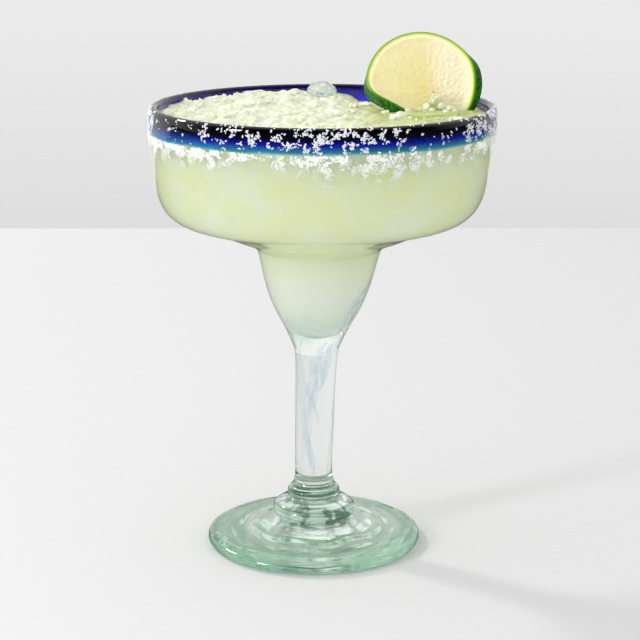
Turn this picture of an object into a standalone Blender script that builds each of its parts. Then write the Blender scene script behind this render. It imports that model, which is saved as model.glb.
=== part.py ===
"""Frozen margarita in a hand-blown glass: metres, +Z up, on z = 0, with the bowl's centre over the origin.

The glass is one solid with its salt. The slush, the clear lump of ice and the lime wheel are solids too.
"""

import itertools
import math
import random

import bmesh
import bpy
from mathutils import Matrix, Vector, noise

MM = 0.001

# Glass, from the outside
RIM_HEIGHT = 168.7 * MM
BOWL_RADIUS = 63.7 * MM
FOOT_RADIUS = 40.7 * MM
FOOT_EDGE = 2.2 * MM
BASE_RING_INNER = 30.0 * MM
STEM_RADIUS = 7.2 * MM
BAND_BOTTOM = 159.6 * MM
LIP_RADIUS = 1.65 * MM
# How much the wall narrows per metre below the band
WALL_SLOPE = 0.13

# The bowl leans a little from the foot, as blown glass does
FOOT_CENTRE_X = -3.4 * MM
LEAN_START = 36.0 * MM
LEAN_PER_METRE = 0.0265

# Facets round the glass and the slush, which share them so that the gap between them stays even
SEGMENTS = 40
SHARP_ANGLE = math.radians(50)

# Salt
GRAIN_COUNT = 192
GRAIN_LENGTH = (1.5 * MM, 2.5 * MM)
GRAIN_WIDTH = (1.0 * MM, 1.5 * MM)
GRAIN_SUNK = 0.3
GRAIN_UNEVEN = (-0.22, 0.12)
GRAIN_THICKNESS = 0.9
GRAIN_TIP = 0.3
GRAIN_SPACING = GRAIN_LENGTH[1] + 0.25 * MM
CRUST_BOTTOM = 148.0 * MM
SALTED_SPAN = (0.02, 0.95)
# Salt is patchy: its mean share, how much the patches differ, and their number round and up the rim
SALT_SHARE = 0.62
PATCH_DEPTH = 0.9
PATCHES_ROUND = 3.2
PATCHES_UP = 2.1
CRUST_SHARE = 0.35
CRUST_RISE = 1.3
# The front left of the band is nearly bare
BARE_ANGLE = math.radians(215)
BARE_HALF_WIDTH = math.radians(14)
BARE_SHARE = 0.45

# Contents
GAP = 0.3 * MM
SLUSH_LEVEL = 165.4 * MM
FRONT_LEVEL = 162.4 * MM
FRONT_RISE_Y = (-31 * MM, -12 * MM)
LEFT_LEVEL = 166.2 * MM
LEFT_RISE_X = (-36 * MM, -56 * MM)
LEFT_SHARE = 0.9
DIP_PLACE = (19 * MM, 50 * MM)
DIP_RADIUS = 17 * MM
DIP_DEPTH = 3.4 * MM
MOUND_PLACE = (-18 * MM, 37 * MM)
MOUND_RADIUS = 34 * MM
MOUND_HEIGHT = 1.5 * MM
# Waves on the slush: low at the front, higher behind
WAVE_SIZES = (8 * MM, 4 * MM)
SMALL_WAVE_SHARE = 0.5
CALM_WAVES = 0.25
MORE_WAVES = 0.95
LUMPY_Y = (-33 * MM, -22 * MM)
TOP_RINGS = (1.0, 0.94, 0.83, 0.7, 0.56, 0.42, 0.28, 0.14)

# Lumps of crushed ice
LUMP_COUNT = 22
LUMP_RADIUS = (3.6 * MM, 5.6 * MM)
LUMP_REACH = 53 * MM
LUMP_FRONT_Y = -20 * MM
LUMP_SPACING = 8.8 * MM
LUMP_UNEVEN = 0.16
LUMP_SHAPE = (1.15, 1.0, 0.65)
LUMP_TILT = 0.65
LUMP_SUNK = 0.35

# Lime wheel, flat: its middle is the origin, +X right, +Y up, +Z towards the front
WHEEL_RADIUS = 20.8 * MM
WHEEL_THICKNESS = 3.7 * MM
RIND_BEVEL = 0.5 * MM
HUB = Vector((4.3 * MM, -3.1 * MM))
NOTCH_START = math.radians(259)
NOTCH_END = math.radians(303)
WHEEL_STEPS = 34
FACE_RINGS = (0.32, 0.62, 0.84, 1.0)
# Rolls of the flat wheel: direction, distance from the middle where it starts, and radius
RIGHT_ROLL = (math.radians(0), 14.0 * MM, 7.0 * MM)
FLAP_ROLL = (math.radians(238.9), 4.45 * MM, 11.5 * MM)
WHEEL_LEAN = math.radians(30)
WHEEL_PLACE = Vector((36.9 * MM, 13.5 * MM, 175.0 * MM))

# Slush banked in front of the wheel, in mm
BLOCK_X = (21.6, 50.0)
BLOCK_Y = (-8.5, 7.0)
BLOCK_Z = (158.0, 166.1)
POINT_BASE_X = (36.6, 47.2)
POINT_BASE_Y = (2.0, 9.5)
POINT_TOP = (41.0, 5.6, 172.0)
POINT_TOP_RUN = (0.4, 3.0, -0.3)
POINT_SUNK = 1.5

# Clear lump of ice at the back
ICE_PLACE = Vector((-0.4 * MM, 44.5 * MM, 166.8 * MM))
ICE_HALF_SIZE = Vector((7.2 * MM, 6.4 * MM, 5.6 * MM))
ICE_CORNERS = 16
ICE_TURN = 2.4
ICE_UNEVEN_TURN = 0.35
ICE_REACH = (0.86, 1.04)
ICE_SHARP_ANGLE = math.radians(12)


def clear_scene():
    for thing in list(bpy.data.objects):
        bpy.data.objects.remove(thing)


def make_material(name, colour, roughness, transmission=0.0, ior=1.45):
    material = bpy.data.materials.new(name)
    material.use_nodes = True
    shader = material.node_tree.nodes["Principled BSDF"]
    shader.inputs["Base Color"].default_value = (*colour, 1.0)
    shader.inputs["Roughness"].default_value = roughness
    shader.inputs["Metallic"].default_value = 0.0
    shader.inputs["IOR"].default_value = ior
    shader.inputs["Transmission Weight"].default_value = transmission
    material.diffuse_color = (*colour, 1.0)
    return material


def make_object(name, bm, materials, sharp_angle=SHARP_ANGLE):
    """The bmesh as a smooth-shaded object in the scene, with its sharp edges kept."""
    bmesh.ops.recalc_face_normals(bm, faces=bm.faces[:])
    mesh = bpy.data.meshes.new(name)
    bm.to_mesh(mesh)
    bm.free()
    mesh.shade_smooth()
    mesh.set_sharp_from_angle(angle=sharp_angle)
    thing = bpy.data.objects.new(name, mesh)
    for material in materials:
        mesh.materials.append(material)
    bpy.context.scene.collection.objects.link(thing)
    return thing


def apply_boolean(body, operation, others):
    """Joins the others to the body, or cuts them from it, and removes them."""
    holder = bpy.data.collections.new(body.name + "_" + operation.lower())
    bpy.context.scene.collection.children.link(holder)
    for other in others:
        holder.objects.link(other)
    modifier = body.modifiers.new(operation.lower(), "BOOLEAN")
    modifier.operation = operation
    modifier.operand_type = "COLLECTION"
    modifier.collection = holder
    modifier.solver = "EXACT"
    modifier.material_mode = "TRANSFER"
    with bpy.context.temp_override(object=body, active_object=body):
        bpy.ops.object.modifier_apply(modifier=modifier.name)
    for other in others:
        bpy.data.objects.remove(other)
    bpy.data.collections.remove(holder)


def arc(centre, radii, start, end, steps):
    """Points (radius, height) on an ellipse, with the angles in degrees from straight out."""
    points = []
    for step in range(steps + 1):
        angle = math.radians(start + (end - start) * step / steps)
        radius = centre[0] + radii[0] * math.cos(angle)
        height = centre[1] + radii[1] * math.sin(angle)
        points.append((radius, height))
    return points


def in_mm(points):
    return [(radius * MM, height * MM) for radius, height in points]


def foot_outline():
    """From under the middle, over the flat ring and the rounded edge, up to the knops."""
    hollow = in_mm([(0, 1.4), (16, 1.2), (26, 0.6)])
    edge_centre = (FOOT_RADIUS - FOOT_EDGE, FOOT_EDGE)
    ring = [(BASE_RING_INNER, 0.0)]
    edge = arc(edge_centre, (FOOT_EDGE, FOOT_EDGE), -90, 80, 5)
    top = in_mm([(33, 5.4), (25, 6.7), (18, 8.3)])
    return hollow + ring + edge + top


def knop_outline():
    """The wide lower knop and the small ring over it."""
    lower = arc((11.3 * MM, 12.9 * MM), (4.5 * MM, 3.7 * MM), -60, 75, 5)
    neck = in_mm([(11.0, 17.1)])
    upper = arc((7.0 * MM, 19.9 * MM), (3.0 * MM, 2.7 * MM), -35, 65, 3)
    return lower + neck + upper


def stem_outline():
    waist = STEM_RADIUS - 0.1 * MM
    return [
        (STEM_RADIUS + 0.3 * MM, 24.2 * MM),
        (waist, 27.5 * MM),
        (STEM_RADIUS + 0.1 * MM, 46.0 * MM),
        (STEM_RADIUS + 0.6 * MM, 70.0 * MM),
    ]


def outer_bowl_outline():
    """The narrow lower bowl, the flare and the wide upper bowl, to the start of the lip."""
    lower = [(8.4, 76.1), (9.8, 79.6), (12.6, 85.5), (16.0, 91.7), (18.6, 97.9), (20.5, 104.2), (22.2, 111.2)]
    flare = [(23.6, 115.2), (27.0, 117.4), (33.0, 119.8), (40.0, 122.8), (47.0, 124.9), (53.5, 127.0)]
    upper = [(57.6, 130.4), (60.2, 135.4), (61.8, 142.0), (62.8, 149.0), (63.6, 156.0)]
    return in_mm(lower + flare + upper)


def lip_outline():
    centre = (BOWL_RADIUS - LIP_RADIUS, RIM_HEIGHT - LIP_RADIUS)
    return arc(centre, (LIP_RADIUS, LIP_RADIUS), 0, 180, 6)


def cavity_outline():
    """The inside of the bowl, from under the lip down to its lowest point on the axis."""
    upper = [(60.3, 158.0), (59.9, 150.0), (58.8, 141.5), (56.6, 136.0), (52.6, 131.7), (46.0, 129.0)]
    flare = [(39.0, 126.7), (31.0, 123.4), (24.5, 120.4), (20.8, 116.6)]
    lower = [(19.2, 110.5), (17.3, 103.5), (14.0, 96.0), (9.4, 88.8), (4.6, 84.0), (0.0, 82.6)]
    return in_mm(upper + flare + lower)


def lean(height):
    """How far to +X the axis is at this height."""
    return FOOT_CENTRE_X + LEAN_PER_METRE * max(height - LEAN_START, 0.0)


def add_ring(bm, radius, height):
    """A ring of vertices about the leaning axis, or one vertex on it."""
    if radius == 0.0:
        return [bm.verts.new((lean(height), 0.0, height))]
    ring = []
    for step in range(SEGMENTS):
        angle = 2 * math.pi * step / SEGMENTS
        ring.append(bm.verts.new((lean(height) + radius * math.cos(angle), radius * math.sin(angle), height)))
    return ring


def bridge(bm, first, second, material_index=0):
    """Faces between two closed rings, either of which may be a single vertex."""
    count = max(len(first), len(second))
    for step in range(count):
        following = (step + 1) % count
        if len(first) == 1:
            corners = (first[0], second[step], second[following])
        elif len(second) == 1:
            corners = (first[step], first[following], second[0])
        else:
            corners = (first[step], first[following], second[following], second[step])
        bm.faces.new(corners).material_index = material_index


def make_glass(materials):
    outline = foot_outline() + knop_outline() + stem_outline() + outer_bowl_outline()
    outline.append((BOWL_RADIUS, BAND_BOTTOM))
    outline += lip_outline() + [(BOWL_RADIUS - 2 * LIP_RADIUS, BAND_BOTTOM + 4 * MM)]
    outline += cavity_outline()
    bm = bmesh.new()
    rings = [add_ring(bm, radius, height) for radius, height in outline]
    for index in range(len(rings) - 1):
        middle = (outline[index][1] + outline[index + 1][1]) / 2
        bridge(bm, rings[index], rings[index + 1], 1 if middle > BAND_BOTTOM else 0)
    return make_object("glass", bm, materials)


def wall_point(angle, along):
    """A place on the outside of the rim and its outward normal.

    along is 0 at the bottom of the salt crust and 1 at the top of the lip.
    """
    lip_start = RIM_HEIGHT - LIP_RADIUS
    straight = lip_start - CRUST_BOTTOM
    distance = along * (straight + LIP_RADIUS * math.pi / 2)
    if distance < straight:
        height = CRUST_BOTTOM + distance
        radius = BOWL_RADIUS - WALL_SLOPE * max(BAND_BOTTOM - height, 0.0)
        tilt = 0.0
    else:
        tilt = (distance - straight) / LIP_RADIUS
        height = lip_start + LIP_RADIUS * math.sin(tilt)
        radius = BOWL_RADIUS - LIP_RADIUS * (1 - math.cos(tilt))
    outward = Vector((math.cos(angle), math.sin(angle), 0.0))
    place = outward * radius + Vector((lean(height), 0.0, height))
    normal = outward * math.cos(tilt) + Vector((0.0, 0.0, math.sin(tilt)))
    return place, normal


def salt_density(angle, along):
    """Chance from 0 to 1 that salt stuck here: patchy, and thin towards the bottom of the crust."""
    round_rim = PATCHES_ROUND * math.cos(angle), PATCHES_ROUND * math.sin(angle), PATCHES_UP * along
    patch = SALT_SHARE + PATCH_DEPTH * noise.noise(Vector(round_rim))
    fade = min(1.0, CRUST_SHARE + CRUST_RISE * along)
    on_band = along > 0.5
    bare = BARE_SHARE if on_band and abs(angle - BARE_ANGLE) < BARE_HALF_WIDTH else 1.0
    return patch * fade * bare


def grain_mesh(rng, length, width):
    """A cuboid crystal with uneven corners."""
    bm = bmesh.new()
    bmesh.ops.create_cube(bm, size=1.0)
    for vert in bm.verts:
        vert.co *= 1 + rng.uniform(*GRAIN_UNEVEN)
        vert.co.x *= length
        vert.co.y *= width
        vert.co.z *= width * GRAIN_THICKNESS
    return bm


def make_salt(material):
    """Grains of salt on the rim, set apart from each other so that no hollow is sealed between them."""
    rng = random.Random(7)
    places = []
    grains = []
    while len(grains) < GRAIN_COUNT:
        angle = rng.uniform(0, 2 * math.pi)
        along = rng.uniform(*SALTED_SPAN)
        chance = rng.random()
        length = rng.uniform(*GRAIN_LENGTH)
        width = rng.uniform(*GRAIN_WIDTH)
        place, normal = wall_point(angle, along)
        if chance > salt_density(angle, along):
            continue
        if any((place - other).length < GRAIN_SPACING for other in places):
            continue
        spin = Matrix.Rotation(rng.uniform(0, math.pi), 4, "Z")
        tip = Matrix.Rotation(rng.uniform(-GRAIN_TIP, GRAIN_TIP), 4, "Y")
        facing = normal.to_track_quat("Z", "Y").to_matrix().to_4x4()
        raised = place + normal * width * (0.5 - GRAIN_SUNK)
        bm = grain_mesh(rng, length, width)
        bmesh.ops.transform(bm, matrix=Matrix.Translation(raised) @ facing @ spin @ tip, verts=bm.verts[:])
        grains.append(make_object("grain_%03d" % len(grains), bm, [material]))
        places.append(place)
    return grains


def smoothstep(low, high, value):
    t = min(max((value - low) / (high - low), 0.0), 1.0)
    return t * t * (3 - 2 * t)


def bump(x, y, centre, radius):
    """1 about the centre, falling smoothly to 0 at the radius."""
    distance = math.hypot(x - centre[0], y - centre[1])
    return 1 - smoothstep(0.3 * radius, radius, distance)


def slush_height(x, y):
    """Top of the slush: high at the back and the left, low at the front and in a dip at the back right."""
    level = FRONT_LEVEL + (SLUSH_LEVEL - FRONT_LEVEL) * smoothstep(*FRONT_RISE_Y, y)
    left = smoothstep(*LEFT_RISE_X, x)
    level += (LEFT_LEVEL - level) * left * LEFT_SHARE
    level -= DIP_DEPTH * bump(x, y, DIP_PLACE, DIP_RADIUS)
    level += MOUND_HEIGHT * bump(x, y, MOUND_PLACE, MOUND_RADIUS)
    lumpy = smoothstep(*LUMPY_Y, y)
    waves = noise.noise(Vector((x, y, 0.0)) / WAVE_SIZES[0])
    waves += SMALL_WAVE_SHARE * noise.noise(Vector((x, y, 9 * MM)) / WAVE_SIZES[1])
    return level + (CALM_WAVES + MORE_WAVES * lumpy) * MM * waves


def inside_of(outline, distance):
    """The outline moved towards the axis and up, by the distance along its own normals."""
    moved = []
    for index, (radius, height) in enumerate(outline):
        before = outline[max(index - 1, 0)]
        after = outline[min(index + 1, len(outline) - 1)]
        along = Vector((after[0] - before[0], after[1] - before[1])).normalized()
        if radius == 0.0:
            moved.append((0.0, height + distance))
        else:
            moved.append((radius + distance * along.y, height - distance * along.x))
    return moved


def make_slush_body(material):
    """The slush in the bowl: it follows the cavity with the gap, up to its uneven top."""
    bm = bmesh.new()
    rings = []
    # The facets' middles lie nearer the axis than their corners, hence a little more than the gap
    wall = inside_of(cavity_outline(), 1.15 * GAP)
    for radius, height in reversed(wall):
        rings.append(add_ring(bm, radius, height))
    top_radius = wall[0][0]
    for share in TOP_RINGS:
        ring = add_ring(bm, top_radius * share, SLUSH_LEVEL)
        for vert in ring:
            vert.co.z = slush_height(vert.co.x, vert.co.y)
        rings.append(ring)
    middle = add_ring(bm, 0.0, SLUSH_LEVEL)
    middle[0].co.z = slush_height(middle[0].co.x, middle[0].co.y)
    rings.append(middle)
    for index in range(len(rings) - 1):
        bridge(bm, rings[index], rings[index + 1])
    return make_object("slush", bm, [material])


def make_lumps(material):
    """Lumps of crushed ice that stand out of the slush, on all but its low front."""
    rng = random.Random(21)
    lumps = []
    places = []
    while len(lumps) < LUMP_COUNT:
        angle = rng.uniform(0, 2 * math.pi)
        out = LUMP_REACH * math.sqrt(rng.random())
        x, y = out * math.cos(angle), out * math.sin(angle)
        radius = rng.uniform(*LUMP_RADIUS)
        if y < LUMP_FRONT_Y or any(math.hypot(x - a, y - b) < LUMP_SPACING for a, b in places):
            continue
        bm = bmesh.new()
        bmesh.ops.create_icosphere(bm, subdivisions=1, radius=radius)
        for vert in bm.verts:
            vert.co *= 1 + rng.uniform(-LUMP_UNEVEN, LUMP_UNEVEN)
        squash = Matrix.Diagonal((*LUMP_SHAPE, 1.0))
        turn = Matrix.Rotation(rng.uniform(0, math.pi), 4, "Z") @ Matrix.Rotation(LUMP_TILT, 4, "X")
        place = Matrix.Translation((x, y, slush_height(x, y) - LUMP_SUNK * radius))
        bmesh.ops.transform(bm, matrix=place @ squash @ turn, verts=bm.verts[:])
        lumps.append(make_object("lump_%02d" % len(lumps), bm, [material]))
        places.append((x, y))
    return lumps


def make_hull(name, corners_mm, material):
    bm = bmesh.new()
    for corner in corners_mm:
        bm.verts.new(Vector(corner) * MM)
    bmesh.ops.convex_hull(bm, input=bm.verts[:])
    return make_object(name, bm, [material])


def make_heap(material):
    """The slush banked against the wheel: a low block in front of it, and a point that fills its notch."""
    block = [(x, y, z) for x, y, z in itertools.product(BLOCK_X, BLOCK_Y, BLOCK_Z)]
    left, right = POINT_BASE_X
    front, back = POINT_BASE_Y
    foot = BLOCK_Z[1] - POINT_SUNK
    point = [(left, front, foot), (right, front, foot), (left, back, foot), (right, back, foot)]
    point += [POINT_TOP, [place + run for place, run in zip(POINT_TOP, POINT_TOP_RUN)]]
    return [make_hull("block", block, material), make_hull("point", point, material)]


def roll(point, direction, start, radius):
    """Rolls what lies past start, along the direction, forward round a cylinder."""
    turn = Matrix.Rotation(-direction, 3, "Z")
    local = turn @ point
    over = local.x - start
    if over > 0:
        angle = over / radius
        reach = radius - local.z
        local = Vector((start + reach * math.sin(angle), local.y, local.z + reach * (1 - math.cos(angle))))
    return turn.transposed() @ local


def place_on_wheel(x, y, forward):
    """A point of the flat wheel, rolled, leant back and set in the glass."""
    point = roll(Vector((x, y, forward)), *RIGHT_ROLL)
    point = roll(point, *FLAP_ROLL)
    upright = Vector((point.x, -point.z, point.y))
    return Matrix.Rotation(-WHEEL_LEAN, 3, "X") @ upright + WHEEL_PLACE


def reach_of_circle(origin, direction, radius):
    """How far from the origin the circle about the wheel's middle lies, in this direction."""
    along = origin.dot(direction)
    return -along + math.sqrt(along * along - origin.length_squared + radius * radius)


def make_wheel(name, materials, grow=0.0):
    """The lime wheel with its notch. grow swells it all round, for the room that the slush leaves it."""
    half_notch = (NOTCH_END - NOTCH_START) / 2
    bisector = NOTCH_START + half_notch
    apex = HUB + grow / math.sin(half_notch) * Vector((math.cos(bisector), math.sin(bisector)))
    front = grow
    back = -WHEEL_THICKNESS - grow
    radius = WHEEL_RADIUS + grow
    bevel = RIND_BEVEL
    inner = radius - bevel
    rows = [(share, inner, front) for share in FACE_RINGS]
    rows += [(1.0, radius, front - bevel), (1.0, radius, back + bevel)]
    rows += [(share, inner, back) for share in reversed(FACE_RINGS)]
    rind_start = len(FACE_RINGS)
    bm = bmesh.new()
    front_apex = bm.verts.new(place_on_wheel(apex.x, apex.y, front))
    back_apex = bm.verts.new(place_on_wheel(apex.x, apex.y, back))
    spokes = []
    for step in range(WHEEL_STEPS + 1):
        angle = NOTCH_END + (2 * math.pi - 2 * half_notch) * step / WHEEL_STEPS
        direction = Vector((math.cos(angle), math.sin(angle)))
        spoke = [front_apex]
        for share, circle, forward in rows:
            flat = apex + direction * reach_of_circle(apex, direction, circle) * share
            spoke.append(bm.verts.new(place_on_wheel(flat.x, flat.y, forward)))
        spoke.append(back_apex)
        spokes.append(spoke)
    for first, second in zip(spokes, spokes[1:]):
        for index in range(len(rows) + 1):
            # Next to an apex, two of the four corners are the same one
            corners = [first[index], second[index], second[index + 1], first[index + 1]]
            face = bm.faces.new(dict.fromkeys(corners))
            face.material_index = 1 if rind_start <= index <= rind_start + 2 else 0
    for spoke in (spokes[0], spokes[-1]):
        close_notch_side(bm, spoke)
    return make_object(name, bm, materials)


def close_notch_side(bm, spoke):
    """The cut wall of the notch, in strips between the front face and the back face."""
    low, high = 0, len(spoke) - 1
    while high - low > 2:
        corners = [spoke[low], spoke[low + 1], spoke[high - 1], spoke[high]]
        bm.faces.new(corners)
        low += 1
        high -= 1
    if high - low == 2:
        bm.faces.new((spoke[low], spoke[low + 1], spoke[high]))


def make_ice(name, materials, grow=0.0):
    """A clear lump with flat broken sides: the hull of corners scattered on an ellipsoid."""
    rng = random.Random(5)
    bm = bmesh.new()
    for step in range(ICE_CORNERS):
        height = 1 - 2 * (step + 0.5) / ICE_CORNERS
        angle = step * ICE_TURN + rng.uniform(-ICE_UNEVEN_TURN, ICE_UNEVEN_TURN)
        across = math.sqrt(1 - height * height)
        corner = Vector((across * math.cos(angle), across * math.sin(angle), height))
        corner *= rng.uniform(*ICE_REACH)
        size = ICE_HALF_SIZE + Vector((grow, grow, grow))
        bm.verts.new(ICE_PLACE + Vector((corner.x * size.x, corner.y * size.y, corner.z * size.z)))
    bmesh.ops.convex_hull(bm, input=bm.verts[:])
    return make_object(name, bm, materials, ICE_SHARP_ANGLE)


def main():
    clear_scene()
    clear_glass = make_material("clear_glass", (0.86, 0.95, 0.93), 0.03, 1.0, 1.5)
    cobalt_glass = make_material("cobalt_glass", (0.01, 0.02, 0.3), 0.05, 0.4, 1.5)
    salt = make_material("salt", (0.95, 0.95, 0.97), 0.4)
    lime_slush = make_material("lime_slush", (0.80, 0.84, 0.55), 0.35)
    lime_flesh = make_material("lime_flesh", (0.90, 0.86, 0.50), 0.3)
    lime_rind = make_material("lime_rind", (0.08, 0.28, 0.02), 0.35)
    clear_ice = make_material("clear_ice", (0.85, 0.90, 0.95), 0.08, 0.9, 1.31)

    glass = make_glass([clear_glass, cobalt_glass])
    apply_boolean(glass, "UNION", make_salt(salt))

    make_wheel("lime_wheel", [lime_flesh, lime_rind])
    make_ice("ice_lump", [clear_ice])
    slush = make_slush_body(lime_slush)
    apply_boolean(slush, "UNION", make_lumps(lime_slush) + make_heap(lime_slush))
    room_for_wheel = make_wheel("room_for_wheel", [], GAP)
    room_for_ice = make_ice("room_for_ice", [], 2 * GAP)
    apply_boolean(slush, "DIFFERENCE", [room_for_wheel, room_for_ice])

    for thing in (glass, slush):
        thing.data.set_sharp_from_angle(angle=SHARP_ANGLE)


main()
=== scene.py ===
import math
import random

import bmesh
import bpy
import numpy
from mathutils import Matrix, Vector, noise


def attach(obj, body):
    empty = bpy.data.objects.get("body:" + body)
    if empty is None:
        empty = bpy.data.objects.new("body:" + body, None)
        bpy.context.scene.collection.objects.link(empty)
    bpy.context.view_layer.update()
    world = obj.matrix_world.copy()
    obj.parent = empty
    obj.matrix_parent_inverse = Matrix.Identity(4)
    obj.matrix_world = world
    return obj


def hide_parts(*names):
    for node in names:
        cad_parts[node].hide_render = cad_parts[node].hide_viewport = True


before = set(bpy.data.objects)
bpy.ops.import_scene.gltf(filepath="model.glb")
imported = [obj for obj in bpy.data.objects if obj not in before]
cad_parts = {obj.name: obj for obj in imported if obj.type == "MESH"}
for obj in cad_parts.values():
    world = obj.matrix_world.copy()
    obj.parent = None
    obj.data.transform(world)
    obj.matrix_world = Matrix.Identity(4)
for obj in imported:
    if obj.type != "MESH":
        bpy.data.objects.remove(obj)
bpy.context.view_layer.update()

MM = 0.001

# Camera, light and floor
# The view is from the front and a little above the rim. The room is pale and even. A large soft light hangs
# overhead, a small one behind to the left throws the shadow forward, and a tall panel at the left front
# shines on the band. The floor is plain and ends behind the glass.
FRAME_PIXELS = 640
FOCAL_PIXELS = 1913.4
SENSOR = 36.0
CAMERA_PLACE = (-1.0 * MM, -701.0 * MM, 260.8 * MM)
CAMERA_PITCH = math.radians(13.92)
FLOOR_SIZE = (3.0, 2.6)
FLOOR_BACK = 620.0 * MM
ROOM_GREY = "EAEAEA"
ROOM_LIGHT = 1.22
FLOOR_GREY = "D0D0D1"
# The foot rests on a few points, so there is air between it and the floor
FLOOR_GAP = 0.2 * MM


def colour(hex_value):
    """An sRGB colour such as "D9E0A8" as linear red, green, blue and 1."""
    channels = [int(hex_value[place:place + 2], 16) / 255 for place in (0, 2, 4)]
    linear = [value / 12.92 if value <= 0.04045 else ((value + 0.055) / 1.055) ** 2.4 for value in channels]
    return (*linear, 1.0)


def add_node(tree, kind, inputs=None, stops=None, **settings):
    """Adds one node. inputs holds values or other nodes' outputs, and stops holds a ramp's colours."""
    node = tree.nodes.new(kind)
    for name, value in settings.items():
        setattr(node, name, value)
    for name, value in (inputs or {}).items():
        if isinstance(value, bpy.types.NodeSocket):
            tree.links.new(value, node.inputs[name])
        else:
            node.inputs[name].default_value = value
    if stops:
        elements = node.color_ramp.elements
        while len(elements) < len(stops):
            elements.new(1.0)
        for element, (position, value) in zip(elements, stops):
            element.position = position
            element.color = colour(value) if isinstance(value, str) else (value, value, value, 1.0)
    return node


def start_material(name):
    """A new material with only its output node."""
    material = bpy.data.materials.new(name)
    material.use_nodes = True
    material.node_tree.nodes.clear()
    output = material.node_tree.nodes.new("ShaderNodeOutputMaterial")
    return material, material.node_tree, output


def add_light(name, place, target, size, power, hex_value):
    """A soft panel that faces the target."""
    light = bpy.data.lights.new(name, "AREA")
    light.shape = "RECTANGLE"
    light.size, light.size_y = size
    light.energy = power
    light.color = colour(hex_value)[:3]
    lamp = bpy.data.objects.new(name, light)
    lamp.location = place
    lamp.rotation_euler = (Vector(target) - Vector(place)).to_track_quat("-Z", "Y").to_euler()
    bpy.context.scene.collection.objects.link(lamp)
    return lamp


camera_data = bpy.data.cameras.new("camera")
camera_data.sensor_width = SENSOR
camera_data.lens = SENSOR * FOCAL_PIXELS / FRAME_PIXELS
camera = bpy.data.objects.new("camera", camera_data)
camera.location = CAMERA_PLACE
camera.rotation_euler = (math.pi / 2 - CAMERA_PITCH, 0.0, 0.0)
bpy.context.scene.collection.objects.link(camera)
bpy.context.scene.camera = camera
bpy.context.scene.view_settings.view_transform = "Standard"
# Light bounces many times between the drink and the glass's wall before it comes out
bpy.context.scene.cycles.max_bounces = 32
bpy.context.scene.cycles.diffuse_bounces = 16
bpy.context.scene.cycles.glossy_bounces = 24
bpy.context.scene.cycles.transmission_bounces = 24
bpy.context.scene.cycles.blur_glossy = 0.0

world = bpy.data.worlds.new("pale_room")
bpy.context.scene.world = world
world.use_nodes = True
world.node_tree.nodes.clear()
direction = add_node(world.node_tree, "ShaderNodeTexCoord")
parts = add_node(world.node_tree, "ShaderNodeSeparateXYZ", {0: direction.outputs["Generated"]})
# What shines in the glass from the front is dim, because the panel there is a single one in a dark half room
front_dim = add_node(world.node_tree, "ShaderNodeMapRange", {
    "Value": parts.outputs["Y"], "From Min": -0.25, "From Max": 0.35, "To Min": 0.03, "To Max": 1.0})
ray = add_node(world.node_tree, "ShaderNodeLightPath")
mirrored = add_node(world.node_tree, "ShaderNodeMath", {
    0: ray.outputs["Is Glossy Ray"], 1: ray.outputs["Is Transmission Ray"]},
    operation="SUBTRACT", use_clamp=True)
lit = add_node(world.node_tree, "ShaderNodeMix", {
    "Factor": mirrored.outputs[0], 2: ROOM_LIGHT, 3: front_dim.outputs["Result"]}, data_type="FLOAT")
# The wall behind is a little darker towards the floor
wall_shade = add_node(world.node_tree, "ShaderNodeMapRange", {
    "Value": parts.outputs["Z"], "From Min": -0.21, "From Max": -0.09, "To Min": 0.87, "To Max": 1.0})
brightness = add_node(world.node_tree, "ShaderNodeMix", {
    "Factor": ray.outputs["Is Camera Ray"], 2: lit.outputs[0], 3: wall_shade.outputs["Result"]},
    data_type="FLOAT")
room = add_node(world.node_tree, "ShaderNodeBackground", {
    "Color": colour(ROOM_GREY), "Strength": brightness.outputs[0]})
room_output = add_node(world.node_tree, "ShaderNodeOutputWorld", {"Surface": room.outputs[0]})

bpy.ops.object.select_all(action="DESELECT")
bpy.ops.mesh.primitive_plane_add(size=1.0, location=(0.0, FLOOR_BACK - FLOOR_SIZE[1] / 2, -FLOOR_GAP))
floor = bpy.context.object
floor.name = "floor"
floor.scale = (*FLOOR_SIZE, 1.0)
bpy.ops.object.transform_apply(location=True, rotation=True, scale=True)
# Matt white card: it has next to no shine. In mirror images in the glass it is painted dark grey, painted
# shade that matches the room's dim front.
floor_paint, tree, output = start_material("matt_white_floor")
ray = add_node(tree, "ShaderNodeLightPath")
mirrored = add_node(tree, "ShaderNodeMath", {
    0: ray.outputs["Is Glossy Ray"], 1: ray.outputs["Is Transmission Ray"]},
    operation="SUBTRACT", use_clamp=True)
shown = add_node(tree, "ShaderNodeMix", {
    "Factor": mirrored.outputs[0], 6: colour(FLOOR_GREY), 7: colour("3C3C3E")}, data_type="RGBA")
shader = add_node(tree, "ShaderNodeBsdfPrincipled", {
    "Base Color": shown.outputs[2], "Roughness": 0.9, "Specular IOR Level": 0.1})
tree.links.new(shader.outputs[0], output.inputs["Surface"])
floor.data.materials.append(floor_paint)

add_light("overhead", (-0.1, 0.1, 1.3), (0.0, 0.0, 0.1), (1.3, 1.3), 1.0, "FFFFFF")
add_light("back_left", (-1.2, 0.95, 1.2), (0.0, 0.0, 0.08), (0.16, 0.16), 11.5, "FFFDF8")
add_light("left_panel", (-0.62, -0.42, 0.30), (0.0, 0.0, 0.15), (0.10, 0.22), 2.6, "F8F6FF")


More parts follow.
